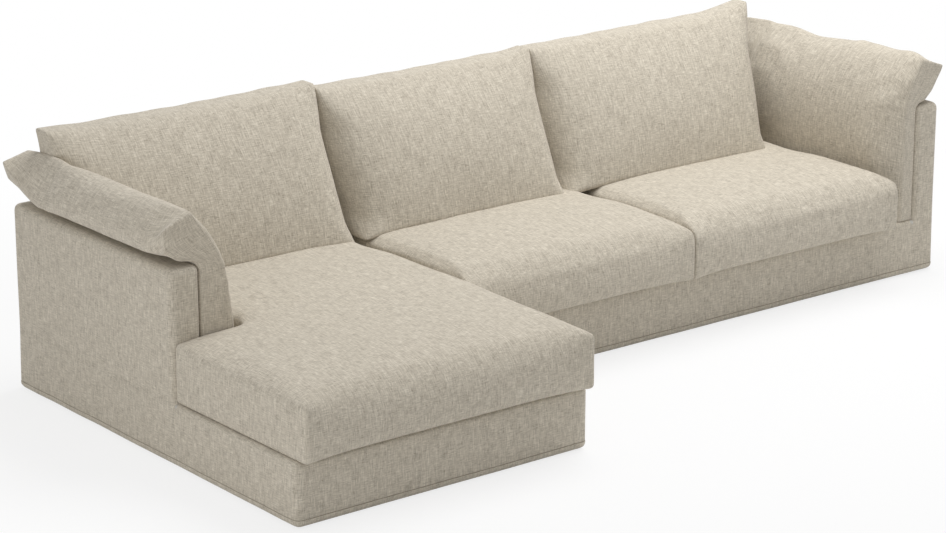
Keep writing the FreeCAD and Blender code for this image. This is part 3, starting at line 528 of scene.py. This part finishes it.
def loosen_cover(bm, deck, seed):
    """Gives the cloth its soft unevenness, the skirt its waves and the hem its step."""
    bm.normal_update()
    moves = []
    for vert in bm.verts:
        co, out = vert.co, vert.normal.copy()
        hang = max(0.0, 1.0 - co.z / deck)
        wave = SKIRT_WAVE * hang * (0.4 + ripple(co.x, co.y, co.z * 0.2, SKIRT_WAVE_SIZE, seed))
        soft = COVER_RIPPLE * (0.8 + ripple(co.x, co.y, co.z, COVER_RIPPLE_SIZE, seed + 5.0))
        push = max(0.0, wave) + soft
        if co.z < HEM_LINE - TOUCHING:
            push += HEM_STEP
        elif co.z < HEM_LINE + TOUCHING:
            push -= HEM_STEP
        if hang > 0.0:
            out.z = 0.0
        moves.append((vert, out * push))
    for vert, move in moves:
        vert.co += move


def lay_weave(thing):
    """Gives each face corner its place on the cloth, in metres: sides, fronts and tops are cut flat."""
    mesh = thing.data
    layer = mesh.uv_layers.new(name="weave")
    for face in mesh.polygons:
        out = face.normal
        for corner in face.loop_indices:
            co = mesh.vertices[mesh.loops[corner].vertex_index].co
            if abs(out.x) > max(abs(out.y), abs(out.z)):
                layer.data[corner].uv = (co.y, co.z)
            elif abs(out.y) > abs(out.z):
                layer.data[corner].uv = (co.x, co.z)
            else:
                layer.data[corner].uv = (co.x, co.y)


def module_cover(name, faces, seed):
    """A module's slipcover: one skin over its base, arm and back, hanging to a stitched hem."""
    bm = cover_block(faces)
    deck = faces["deck"]
    high_edges = [edge for edge in bm.edges if is_convex(edge) and not lies_at(edge, deck)]
    round_edges(bm, high_edges, ARM_RADIUS, 4)
    deck_edges = [edge for edge in bm.edges if is_convex(edge) and lies_at(edge, deck)]
    round_edges(bm, deck_edges, DECK_RADIUS, 3)
    cut_evenly(bm, X, faces["west"], faces["east"], COVER_GRID)
    cut_evenly(bm, Y, faces["front"], faces["rear"], COVER_GRID)
    cut_evenly(bm, Z, deck, faces["top"], COVER_GRID)
    for level in (HEM_LINE - HEM_SEAM, HEM_LINE, HEM_LINE + HEM_SEAM, *SKIRT_LEVELS):
        cut(bm, Z, level)
    loosen_cover(bm, deck, seed)
    thing = as_object(f"{name}_cover", bm)
    lay_weave(thing)
    shade(thing, COVER_LINEN)
    shell = thing.modifiers.new("wall", "SOLIDIFY")
    shell.thickness = COVER_THICKNESS
    shell.offset = -1.0
    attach(thing, f"{name}_module")
    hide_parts(f"{name}_slipcover")


def even_block(size, spacing):
    """A box from the origin, cut into even squares."""
    bm = bmesh.new()
    bmesh.ops.create_cube(bm, size=1.0)
    bmesh.ops.translate(bm, vec=(0.5, 0.5, 0.5), verts=bm.verts)
    bmesh.ops.scale(bm, vec=size, verts=bm.verts)
    for axis in (X, Y, Z):
        cut_evenly(bm, axis, 0.0, size[axis], spacing)
    return bm


def lay_panels(bm, top):
    """Gives each panel its own length of cloth, which runs on from the top down the front."""
    bm.normal_update()
    layer = bm.loops.layers.uv.new("weave")
    for face in bm.faces:
        out = face.normal
        for loop in face.loops:
            co = loop.vert.co
            if abs(out.x) > 0.7:
                loop[layer].uv = (co.y, co.z)
            elif out.y < -0.7:
                loop[layer].uv = (co.x, co.z - top)
            elif out.y > 0.7:
                loop[layer].uv = (co.x, co.z)
            else:
                loop[layer].uv = (co.x, co.y)


def ease_edge(co, radius, *faces):
    """Rounds the edge where two faces of a block meet, each given as its axis, side and place."""
    (axis, side, place), (other_axis, other_side, other_place) = faces
    reach = radius - side * (place - co[axis])
    other_reach = radius - other_side * (other_place - co[other_axis])
    if reach <= 0.0 or other_reach <= 0.0:
        return
    share = max(reach, other_reach) / math.hypot(reach, other_reach)
    co[axis] = place - side * (radius - reach * share)
    co[other_axis] = other_place - other_side * (radius - other_reach * share)


def along_path(points, share):
    """The place at that share of the length of a line through the points."""
    spans = [math.dist(a, b) for a, b in zip(points, points[1:])]
    left = share * sum(spans)
    for (a, b), span in zip(zip(points, points[1:]), spans):
        if left <= span:
            return tuple(p + (q - p) * left / span for p, q in zip(a, b))
        left -= span
    return points[-1]


class Padded:
    """A padded piece: its mesh, what holds it while it fills, and its room between its neighbours."""

    def __init__(self, name, bm, hold, fill, nodes, sides, drawn=(0.0, 0.0)):
        self.name = name
        self.thing = as_object(name, bm)
        self.hold = hold
        self.fill = fill
        self.nodes = nodes
        self.west, self.east = sides
        self.west_in, self.east_in = drawn

    def ready(self):
        """Puts a cloth on the piece, held by weights."""
        self.start = [vert.co.copy() for vert in self.thing.data.vertices]
        group = self.thing.vertex_groups.new(name="held")
        for vert in self.thing.data.vertices:
            group.add([vert.index], self.hold(vert.co), "REPLACE")
        cloth = self.thing.modifiers.new("fill", "CLOTH")
        for name, setting in FILLING.items():
            setattr(cloth.settings, name, setting)
        cloth.settings.effector_weights.gravity = 0.0
        cloth.point_cache.frame_start = 1
        cloth.point_cache.frame_end = SIM_FRAMES

    def settle(self, graph):
        """Takes the filled shape, within the cap and the room."""
        moved = [vert.co.copy() for vert in self.thing.evaluated_get(graph).data.vertices]
        self.thing.modifiers.clear()
        self.thing.vertex_groups.clear()
        for vert, before, after in zip(self.thing.data.vertices, self.start, moved):
            move = after - before
            if move.length > SIM_CAP:
                move = move.normalized() * SIM_CAP
            vert.co = before + move
            below = 1 - limited((vert.co.z - BACK_FOOT_LEVEL) / BACK_RISE)
            west = self.west + self.west_in * below
            east = self.east + self.east_in * below
            vert.co.x = min(max(vert.co.x, west), east)
        self.thing.data.update()

    def finish(self):
        smooth = self.thing.modifiers.new("finer", "SUBSURF")
        smooth.levels = 1
        smooth.render_levels = 1
        apply_modifiers(self.thing)
        shade(self.thing, CUSHION_LINEN)
        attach(self.thing, self.name)
        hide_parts(*self.nodes)


def fill_all(pieces):
    """Fills the covers: a little pressure inside, with the resting faces and the seams held."""
    for piece in pieces:
        piece.ready()
    for number in range(1, SIM_FRAMES + 1):
        bpy.context.scene.frame_set(number)
    graph = bpy.context.evaluated_depsgraph_get()
    for piece in pieces:
        piece.settle(graph)
    bpy.context.scene.frame_set(1)


# The room in the chaise's seat for the arm and its pillow: it ends here to the east and to the front
NOTCH = (CHAISE["arm_east"] + NOTCH_MORE, CHAISE["arm_front"] - NOTCH_GAP)
SEATS = {"chaise_seat": (2.0, NOTCH), "middle_seat": (4.0, None), "right_seat": (6.0, None)}
SEAT_CORNERS = [(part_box("chaise_seat_cushion")[0].x, NOTCH[1])]
for seat_name in SEATS:
    seat_low, seat_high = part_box(f"{seat_name}_cushion")
    SEAT_CORNERS += [(seat_low.x, seat_low.y), (seat_high.x, seat_low.y), (seat_high.x, seat_high.y)]


def seat_hold(co):
    """The seat's underside and the seams at its corners stay."""
    if co.z < SEAT_BOTTOM + SEAT_HELD_HEIGHT:
        return HELD
    seams = [(abs(co.x - x), abs(co.y - y)) for x, y in SEAT_CORNERS]
    return HELD if any(x < SEAM_REACH_X and y < SEAM_REACH_Y for x, y in seams) else 0.0


def back_hold(co):
    """The back cushion's foot and rear stay, and its top nearly so."""
    if co.z > BACK_HELD_OVER:
        return NEARLY_HELD
    return HELD if co.y > BACK_PLANE - BACK_HELD_DEPTH or co.z < BACK_HELD_UNDER else 0.0


def pillow_hold(co):
    """The pillow stays where the arm, the seat and the back cushion hold it, and its front end nearly so."""
    over_chaise_arm = CHAISE["west"] < co.x < CHAISE["arm_east"] + ARM_HELD_MORE
    over_couch_arm = COUCH["arm_west"] - ARM_HELD_MORE < co.x < COUCH["east"]
    on_arm = (over_chaise_arm or over_couch_arm) and co.z < ARM_HELD_UNDER
    if on_arm or co.z < SEAT_LEVEL or co.y > BACK_PLANE - PILLOW_HELD_DEPTH:
        return HELD
    return NEARLY_HELD if co.y < CHAISE["arm_front"] + PILLOW_HELD_FRONT else 0.0


def seat_block(low, high, edge, notch):
    """A seat's plain form up to its seam, in even squares, with its notch left out."""
    bm = bmesh.new()
    plan_face(bm, low.x, high.x, low.y, high.y, low.z)
    if notch:
        cut(bm, X, notch[0])
        cut(bm, Y, notch[1])
        centres = [(face, face.calc_center_median()) for face in bm.faces]
        gone = [face for face, centre in centres if centre.x < notch[0] and centre.y > notch[1]]
        bmesh.ops.delete(bm, geom=gone, context="FACES")
    draw_up(bm, bm.faces[:], edge - low.z, keep=True)
    recalculated(bm)
    spacing = WIDE_CELL if notch else CELL
    cut_evenly(bm, X, low.x, high.x, spacing)
    cut_evenly(bm, Y, low.y, high.y, spacing)
    cut_evenly(bm, Z, low.z, edge, spacing)
    bmesh.ops.remove_doubles(bm, verts=bm.verts, dist=SEAT_MERGE)
    return bm


def round_seat(co, low, high, edge, nose, notch):
    """Rounds the seat's front over its nose, and its other edges over its seams."""
    top, bottom = (Z, HIGH, edge), (Z, LOW, low.z)
    sides = ((X, LOW, low.x), (X, HIGH, high.x))
    ease_edge(co, nose, (Y, LOW, low.y), top)
    for side in sides:
        ease_edge(co, SEAT_SIDE_RADIUS, side, top)
    if notch and co.x < notch[0]:
        ease_edge(co, SEAT_SIDE_RADIUS, (Y, HIGH, notch[1]), top)
    elif notch and co.y > notch[1]:
        ease_edge(co, SEAT_SIDE_RADIUS, (X, LOW, notch[0]), top)
    else:
        ease_edge(co, SEAT_SIDE_RADIUS, (Y, HIGH, high.y), top)
    for side in sides:
        ease_edge(co, SEAT_SEAM_RADIUS, side, bottom)
    ease_edge(co, SEAT_LIP_RADIUS, (Y, LOW, low.y), bottom)


def seat_cushion(name, seed, notch):
    """A seat cushion: crowned on top, round over its front edge, seamed at its corners."""
    low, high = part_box(f"{name}_cushion")
    width, depth = high.x - low.x, high.y - low.y
    edge = high.z - SEAT_CROWN - SEAT_SEAM_DROP
    height = edge - low.z
    nose_end = SEAT_SEAM_RADIUS if notch else SEAT_NOSE_END
    bm = seat_block(low, high, edge, notch)
    lay_panels(bm, edge)
    for vert in bm.verts:
        co = vert.co
        across = 2 * (co.x - low.x) / width - 1
        from_front = co.y - low.y
        up = (co.z - low.z) / height
        nose = nose_end + (SEAT_NOSE_RADIUS - nose_end) * (1 - abs(across) ** 12)
        round_seat(co, low, high, edge, nose, notch)
        rise = 1 - (1 - min(1.0, from_front / SEAT_RISE_LENGTH)) ** 2
        side_rise = SEAT_SIDE_RISE * rise * abs(across) ** 3
        dome = (SEAT_CROWN + SEAT_SWELL) * (1 - abs(across) ** 3) * rise
        under = limited(1 - (depth - from_front - SINK_FROM) / SINK_OVER)
        sink = BACK_SINK * under ** 2 * (3 - 2 * under)
        lumps = SEAT_LUMPS * ripple(co.x, co.y, 0.0, SEAT_LUMP_SIZE, seed)
        co.z += up * (dome + side_rise - sink + lumps)
        bulge = math.sin(math.pi * limited(up))
        near_front = max(0.0, 1 - from_front / SEAT_LIP_LENGTH)
        co.y -= SEAT_BELLY * bulge * (1 - across ** 4) * near_front
        co.z += SEAT_LIP_RISE * (1 - up) ** 3 * (1 - across ** 6) * near_front
        co.x += SEAT_LUMPS * bulge * ripple(0.0, co.y, co.z, SEAT_SIDE_LUMP_SIZE, seed + 9)
    sides = (low.x - SIDE_PLAY, high.x + SIDE_PLAY)
    return Padded(name, bm, seat_hold, 0.8, (f"{name}_cushion", f"{name}_core"), sides)


# Each back cushion, west then east: its sides against the frame's, how far its foot is drawn across,
# how far its ears reach out and up, and the height of its top edge between them
BACKS = {
    "left_back": {
        "seed": 11.0,
        "sides": (0.0, -0.010),
        "drawn": (0.0, -0.016),
        "ears": (0.020, 0.006),
        "lifts": (0.012, 0.010),
        "crown": -0.006,
    },
    "middle_back": {
        "seed": 12.0,
        "sides": (0.002, -0.006),
        "drawn": (0.0, -0.036),
        "ears": (0.004, 0.004),
        "lifts": (0.0, 0.0),
        "crown": -0.026,
    },
    "right_back": {
        "seed": 13.0,
        "sides": (0.0, -0.018),
        "drawn": (-0.036, -0.120),
        "ears": (0.004, 0.004),
        "lifts": (-0.006, 0.024),
        "crown": -0.018,
    },
}


def round_back(co, width, height, across, up):
    """Rounds a back cushion's edges: wide at the front's sides, tight at the ears and the foot."""
    front, rear = (Y, LOW, 0.0), (Y, HIGH, BACK_THICKNESS)
    top, bottom = (Z, HIGH, height), (Z, LOW, 0.0)
    side_radius = BACK_SIDE_RADIUS * min(1.0, (1 - up) * 3 + 0.10, up * 5 + 0.38)
    top_radius = BACK_TOP_RADIUS * (1 - abs(across) ** 8) + BACK_SEAM_RADIUS
    ease_edge(co, top_radius, front, top)
    ease_edge(co, BACK_REAR_RADIUS, rear, top)
    for side, share in (((X, LOW, 0.0), 1.0), ((X, HIGH, width), BACK_EAST_SHARE)):
        ease_edge(co, side_radius * share, side, front)
        ease_edge(co, BACK_FOOT_SIDE_RADIUS, side, bottom)
        ease_edge(co, BACK_REAR_SIDE_RADIUS, side, rear)
    ease_edge(co, BACK_FOOT_RADIUS, front, bottom)


def back_cushion(name, seed, sides, drawn, ears, lifts, crown):
    """A boxed back cushion that leans on the frame: thin at the top, with ears there, wide at its foot."""
    low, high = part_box(f"{name}_cushion")
    west, east = low.x + sides[0], high.x + sides[1]
    west_in, east_in = drawn
    west_ear, east_ear = ears
    bottom, top = low.z - BACK_SINK, high.z - BACK_TOP_DROP
    width, height = east - west, top - bottom
    lean = (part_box("couch_arm_foam")[1].z - bottom) / height
    bm = even_block((width, BACK_THICKNESS, height), CELL)
    lay_panels(bm, height)
    for vert in bm.verts:
        co = vert.co
        across = 2 * co.x / width - 1
        up = co.z / height
        corner = abs(across) ** 6 * up ** 4
        round_back(co, width, height, across, up)
        forward = 1 - co.y / BACK_THICKNESS
        up = co.z / height
        above_frame = max(0.0, (up - lean) / (1 - lean))
        rear = BACK_REST + (BACK_TOP_REAR - BACK_REST) * above_frame + EAR_REAR * corner
        front = BACK_FOOT + (BACK_TOP_FRONT - BACK_FOOT) * up ** 0.92 - EAR_FRONT * corner
        puff = BACK_PUFF * (1 - across ** 4) * math.sin(math.pi * min(1.0, up)) ** 0.8
        puff += BACK_LUMPS * ripple(co.x + seed, 0.0, co.z, BACK_LUMP_SIZE, seed)
        depth = rear + (front + puff - rear) * forward
        bulge = BACK_SIDE_BULGE * math.sin(math.pi * up) * across ** 3
        draw = (west_in + (east_in - west_in) * co.x / width) * (1 - up)
        ear = up ** 9 * (east_ear * max(0.0, across) ** 4 - west_ear * max(0.0, -across) ** 4)
        foot = BACK_FOOT_DROP * (1 - up) ** 3 * abs(across) ** 3
        lift = lifts[0 if across < 0 else 1] * across ** 4
        wave = BACK_TOP_WAVE * ripple(co.x, 0.0, 0.0, BACK_TOP_WAVE_SIZE, seed + 3)
        co.x += west + bulge + draw + ear
        co.y = BACK_PLANE - depth
        co.z += bottom - foot + up ** 3 * (crown * (1 - 0.7 * across ** 8) + lift + wave)
    room = (west - SIDE_PLAY - west_ear, east + SIDE_PLAY + east_ear)
    nodes = (f"{name}_cushion", f"{name}_core")
    return Padded(name, bm, back_hold, 0.7, nodes, room, drawn)


def arm_side(*upper):
    """The pillow's face on the arm, from its foot straight up to the arm's top edge, and on."""
    return ((ARM_FACE, PILLOW_FOOT), (ARM_FACE, ARM_EDGE), *upper)


def seat_side(outs, *upper):
    """The pillow's face to the seat: how far out it stands at four heights, and the line above them."""
    return (*zip(outs, SEAT_SIDE_LEVELS), *upper)


# The arm pillow's cross-sections, out from the arm's outer face and up from the floor, each from the
# foot to the top seam: amid its length, then the ways its front and its rear end can stand
PILLOW_BACK = {
    "middle": arm_side((0.100, 0.664), (0.020, 0.676), (-0.028, 0.690), (-0.040, 0.712)),
    "front": arm_side((0.100, 0.662), (0.030, 0.672), (-0.020, 0.712), (-0.012, 0.790)),
    "pinched": arm_side((0.100, 0.660), (0.062, 0.666), (0.026, 0.700), (-0.026, 0.792)),
    "rear": arm_side((0.100, 0.668), (0.020, 0.700), (-0.030, 0.750), (-0.046, 0.806)),
    "upright": arm_side((0.100, 0.668), (0.050, 0.694), (0.020, 0.740), (0.030, 0.806)),
}
PILLOW_FACE = {
    "middle": seat_side((0.246, 0.256, 0.256, 0.234), (0.206, 0.672), (0.156, 0.764), (0.050, 0.850)),
    "front": seat_side((0.236, 0.248, 0.240, 0.224), (0.198, 0.662), (0.152, 0.752), (0.088, 0.826)),
    "pinched": seat_side((0.170, 0.174, 0.172, 0.172), (0.168, 0.660), (0.146, 0.736), (0.086, 0.826)),
    "rear": seat_side((0.205, 0.205, 0.205, 0.200), (0.182, 0.672), (0.144, 0.762), (0.056, 0.830)),
    "upright": seat_side((0.205, 0.205, 0.205, 0.204), (0.196, 0.672), (0.174, 0.762), (0.136, 0.832)),
}
PILLOWS = {
    "left": {
        "arm_outer": CHAISE["west"],
        "front": CHAISE["arm_front"] + PILLOW_SETBACK,
        "way": 1,
        "seed": 21.0,
        "flap": 0.256,
        "front_end": "front",
        "rear_end": "rear",
        "rear_pinch": 0.20,
        "dip": 0.0,
    },
    "right": {
        "arm_outer": COUCH["east"],
        "front": COUCH["arm_front"] + PILLOW_SETBACK,
        "way": -1,
        "seed": 22.0,
        "flap": 0.135,
        "front_end": "pinched",
        "rear_end": "upright",
        "rear_pinch": 0.18,
        "dip": 0.028,
    },
}


def blended(paths, share, *ends):
    """A place along the cross-sections, blended from the middle one to the ends by their weights."""
    x, z = along_path(paths["middle"], share)
    for end, weight in ends:
        end_x, end_z = along_path(paths[end], share)
        x += (end_x - x) * weight
        z += (end_z - z) * weight
    return x, z


def round_pillow(co, along):
    """Rounds a pillow's top seams, less at the ears, and the edges of its front end."""
    face, back = (X, HIGH, PILLOW_THICKNESS), (X, LOW, 0.0)
    top, front = (Z, HIGH, PILLOW_HEIGHT), (Y, LOW, 0.0)
    ridge = PILLOW_RIDGE * (1 - (2 * along - 1) ** 8)
    ease_edge(co, ridge + PILLOW_SEAM_RADIUS, face, top)
    ease_edge(co, 0.5 * ridge + PILLOW_SEAM_RADIUS, back, top)
    ease_edge(co, PILLOW_FACE_RADIUS, face, front)
    ease_edge(co, PILLOW_BACK_RADIUS, back, front)


def arm_pillow(side, arm_outer, front, way, seed, flap, front_end, rear_end, rear_pinch, dip):
    """A boxed pillow that stands inside an arm and leans out over its top, with ears at its corners.

    Behind its fold it stands on the back frame, so that only its upper part is there.
    """
    rear = BACK_PLANE - PILLOW_REAR_GAP
    fold = BACK_PLANE - flap
    length = rear - front
    bm = even_block((PILLOW_THICKNESS, length, PILLOW_HEIGHT), CELL)
    lay_panels(bm, PILLOW_HEIGHT)
    back_flap, face_flap = FLAP_SHARES
    for vert in bm.verts:
        co = vert.co
        along = co.y / length
        round_pillow(co, along)
        up = co.z / PILLOW_HEIGHT
        deep = co.x / PILLOW_THICKNESS
        over = limited((co.y + front - fold) / FOLD_LENGTH)
        near_front = max(0.0, 1 - co.y / FRONT_PINCH) ** 2
        near_rear = max(0.0, 1 - (length - co.y) / rear_pinch) ** 1.5
        behind = max(0.0, 1 - (length - co.y) / REAR_TUCK_LENGTH)
        ends = ((front_end, near_front), (rear_end, near_rear))
        back_x, back_z = blended(PILLOW_BACK, up + (1 - up) * back_flap * over, *ends)
        face_x, face_z = blended(PILLOW_FACE, up + (1 - up) * face_flap * over, *ends)
        x = back_x + (face_x - back_x) * deep
        z = back_z + (face_z - back_z) * deep
        x -= REAR_TUCK * deep * behind * limited((REAR_TUCK_TOP - z) / REAR_TUCK_OVER)
        inner = max(0.0, deep - 0.5) * 2 * (1 - over) * limited((z - SEAT_LEVEL) / PILLOW_SWELL_OVER)
        full = (1 - near_front) * (1 - near_rear)
        swell = PILLOW_SWELL * full * inner * math.sin(math.pi * min(1.0, up * 1.1))
        soft = PILLOW_LUMPS * inner * ripple(co.y, co.z, seed, PILLOW_LUMP_SIZE, seed)
        pucker = PILLOW_PUCKER * inner * near_front * ripple(0.0, 0.0, co.z, PILLOW_PUCKER_SIZE, seed + 2)
        wave = PILLOW_TOP_WAVE * up ** 6 * ripple(co.y, 0.0, 0.0, PILLOW_LUMP_SIZE, seed + 4)
        wave *= 1 - near_front
        z -= dip * up ** 4 * max(0.0, 1 - ((along - DIP_PLACE) / DIP_REACH) ** 2)
        co.x = arm_outer + way * (x + swell + soft + pucker)
        co.y += front
        co.z = max(z + wave, SEAT_BOTTOM)
    if way < 0:
        bmesh.ops.reverse_faces(bm, faces=bm.faces)
    nodes = (f"{side}_arm_pillow", f"{side}_arm_pillow_core")
    return Padded(f"{side}_pillow", bm, pillow_hold, 0.6, nodes, (cad_low.x, cad_high.x))


module_cover("chaise", CHAISE, 1.0)
module_cover("couch", COUCH, 14.0)

padded_pieces = [seat_cushion(name, *shape) for name, shape in SEATS.items()]
padded_pieces += [back_cushion(name, **shape) for name, shape in BACKS.items()]
padded_pieces += [arm_pillow(side, **shape) for side, shape in PILLOWS.items()]
fill_all(padded_pieces)
for piece in padded_pieces:
    piece.finish()


def grained(name, pale, dark, along, roughness):
    """Sawn timber: stretched grain in object space."""
    shader = Shader(name)
    grain = shader.noise(shader.stretched(shader.place(), along), 1.0, 4.0, 0.6)
    shader.feed("Base Color", shader.mix(shader.ramp(grain, 0.35, 0.65), pale, dark))
    shader.feed("Roughness", roughness + grain * 0.2)
    shader.feed("Normal", shader.bump(grain, 0.3, 0.001))
    return shader.material


def speckled(name, pale, dark, scale, roughness, metallic=0.0):
    """A plain finish with a fine even texture."""
    shader = Shader(name, Metallic=metallic)
    grain = shader.noise(shader.place(), scale, 3.0, 0.6)
    shader.feed("Base Color", shader.mix(shader.ramp(grain, 0.3, 0.7), pale, dark))
    shader.feed("Roughness", roughness + grain * 0.15)
    shader.feed("Normal", shader.bump(grain, 0.2, 0.0005))
    return shader.material


FINISHES = {
    "timber": grained("sawn_timber", (0.62, 0.45, 0.27), (0.44, 0.29, 0.16), (6.0, 90.0, 90.0), 0.6),
    "hardboard": speckled("hardboard_sheet", (0.30, 0.18, 0.10), (0.20, 0.12, 0.06), 300.0, 0.6),
    "webbing": speckled("webbing_weave", (0.16, 0.15, 0.14), (0.08, 0.075, 0.07), 700.0, 0.8),
    "deck_felt": speckled("deck_felt", (0.60, 0.58, 0.54), (0.48, 0.46, 0.42), 220.0, 0.9),
    "lining_cloth": speckled("lining_cloth", (0.05, 0.05, 0.05), (0.025, 0.025, 0.025), 500.0, 0.9),
    "foam": speckled("cut_foam", (0.85, 0.78, 0.55), (0.72, 0.64, 0.42), 400.0, 0.9),
    "feather_insert": speckled("feather_casing", (0.88, 0.87, 0.83), (0.78, 0.77, 0.73), 300.0, 0.85),
    "glide_plastic": speckled("moulded_plastic", (0.03, 0.03, 0.03), (0.05, 0.05, 0.05), 200.0, 0.45),
    "screw_steel": speckled("zinc_plated_steel", (0.66, 0.65, 0.62), (0.52, 0.51, 0.49), 150.0, 0.3, 1.0),
    "plate_steel": speckled("black_plate_steel", (0.02, 0.02, 0.022), (0.04, 0.04, 0.042), 120.0, 0.4),
}

slot_of = {part["node"]: part["material_slot"] for part in frame["record"]["subparts"]}
for node_name, node_thing in frame["nodes"].items():
    dress(node_thing, FINISHES.get(slot_of[node_name], CUSHION_LINEN))


def build_camera():
    data = bpy.data.cameras.new("camera")
    data.lens = CAMERA_LENS
    data.sensor_width = 36.0
    data.sensor_fit = "HORIZONTAL"
    data.clip_end = 60.0
    camera = bpy.data.objects.new("camera", data)
    camera.location = CAMERA_PLACE
    camera.rotation_euler = (math.pi / 2 - CAMERA_PITCH, 0.0, -CAMERA_YAW)
    bpy.context.scene.collection.objects.link(camera)
    bpy.context.scene.camera = camera


def build_floor():
    """A pale floor that shows white to the camera and keeps the sofa's shadow."""
    bm = bmesh.new()
    bmesh.ops.create_grid(bm, x_segments=1, y_segments=1, size=30.0)
    floor = as_object("floor", bm)
    shader = Shader("pale_floor", Base_Color=(0.85, 0.85, 0.85, 1.0), Roughness=0.9)
    distance = shader.add("ShaderNodeVectorMath", {"operation": "LENGTH"}, [shader.place()], "Value")
    fade = shader.ramp(distance, SHADOW_FADES_FROM, SHADOW_FADES_TO)
    share = (FLOOR_WHITE + fade * (1 - FLOOR_WHITE)) * shader.seen_directly()
    white = shader.add("ShaderNodeEmission")
    surface = Socket(shader, shader.surface.outputs[0])
    both = shader.add("ShaderNodeMixShader", None, [share, surface, white])
    shader.link(both, "Material Output", "Surface")
    floor.data.materials.append(shader.material)


def build_world():
    """Soft even light all round, and a white backdrop for the camera."""
    world = bpy.data.worlds.new("studio")
    bpy.context.scene.world = world
    world.use_nodes = True
    studio = Nodes(world.node_tree)
    world.node_tree.nodes["Background"].inputs["Color"].default_value = (1.0, 1.0, 1.0, 1.0)
    inputs = {"Value": studio.seen_directly(), "To Min": WORLD_LIGHT, "To Max": 1.0}
    studio.link(studio.add("ShaderNodeMapRange", None, inputs), "Background", "Strength")


def area_light(name, place, target, size, watts):
    data = bpy.data.lights.new(name, "AREA")
    data.shape = "SQUARE"
    data.size = size
    data.energy = watts
    light = bpy.data.objects.new(name, data)
    light.location = place
    way = Vector(target) - Vector(place)
    light.rotation_euler = way.to_track_quat("-Z", "Y").to_euler()
    bpy.context.scene.collection.objects.link(light)


build_camera()
build_floor()
build_world()
area_light("key", place=(1.7, 0.3, 5.0), target=(0.6, 0.0, 0.4), size=3.5, watts=210.0)
area_light("side", place=(-4.6, -0.9, 0.5), target=(-1.7, -0.2, 0.4), size=2.0, watts=28.0)
bpy.context.scene.view_settings.view_transform = "Standard"
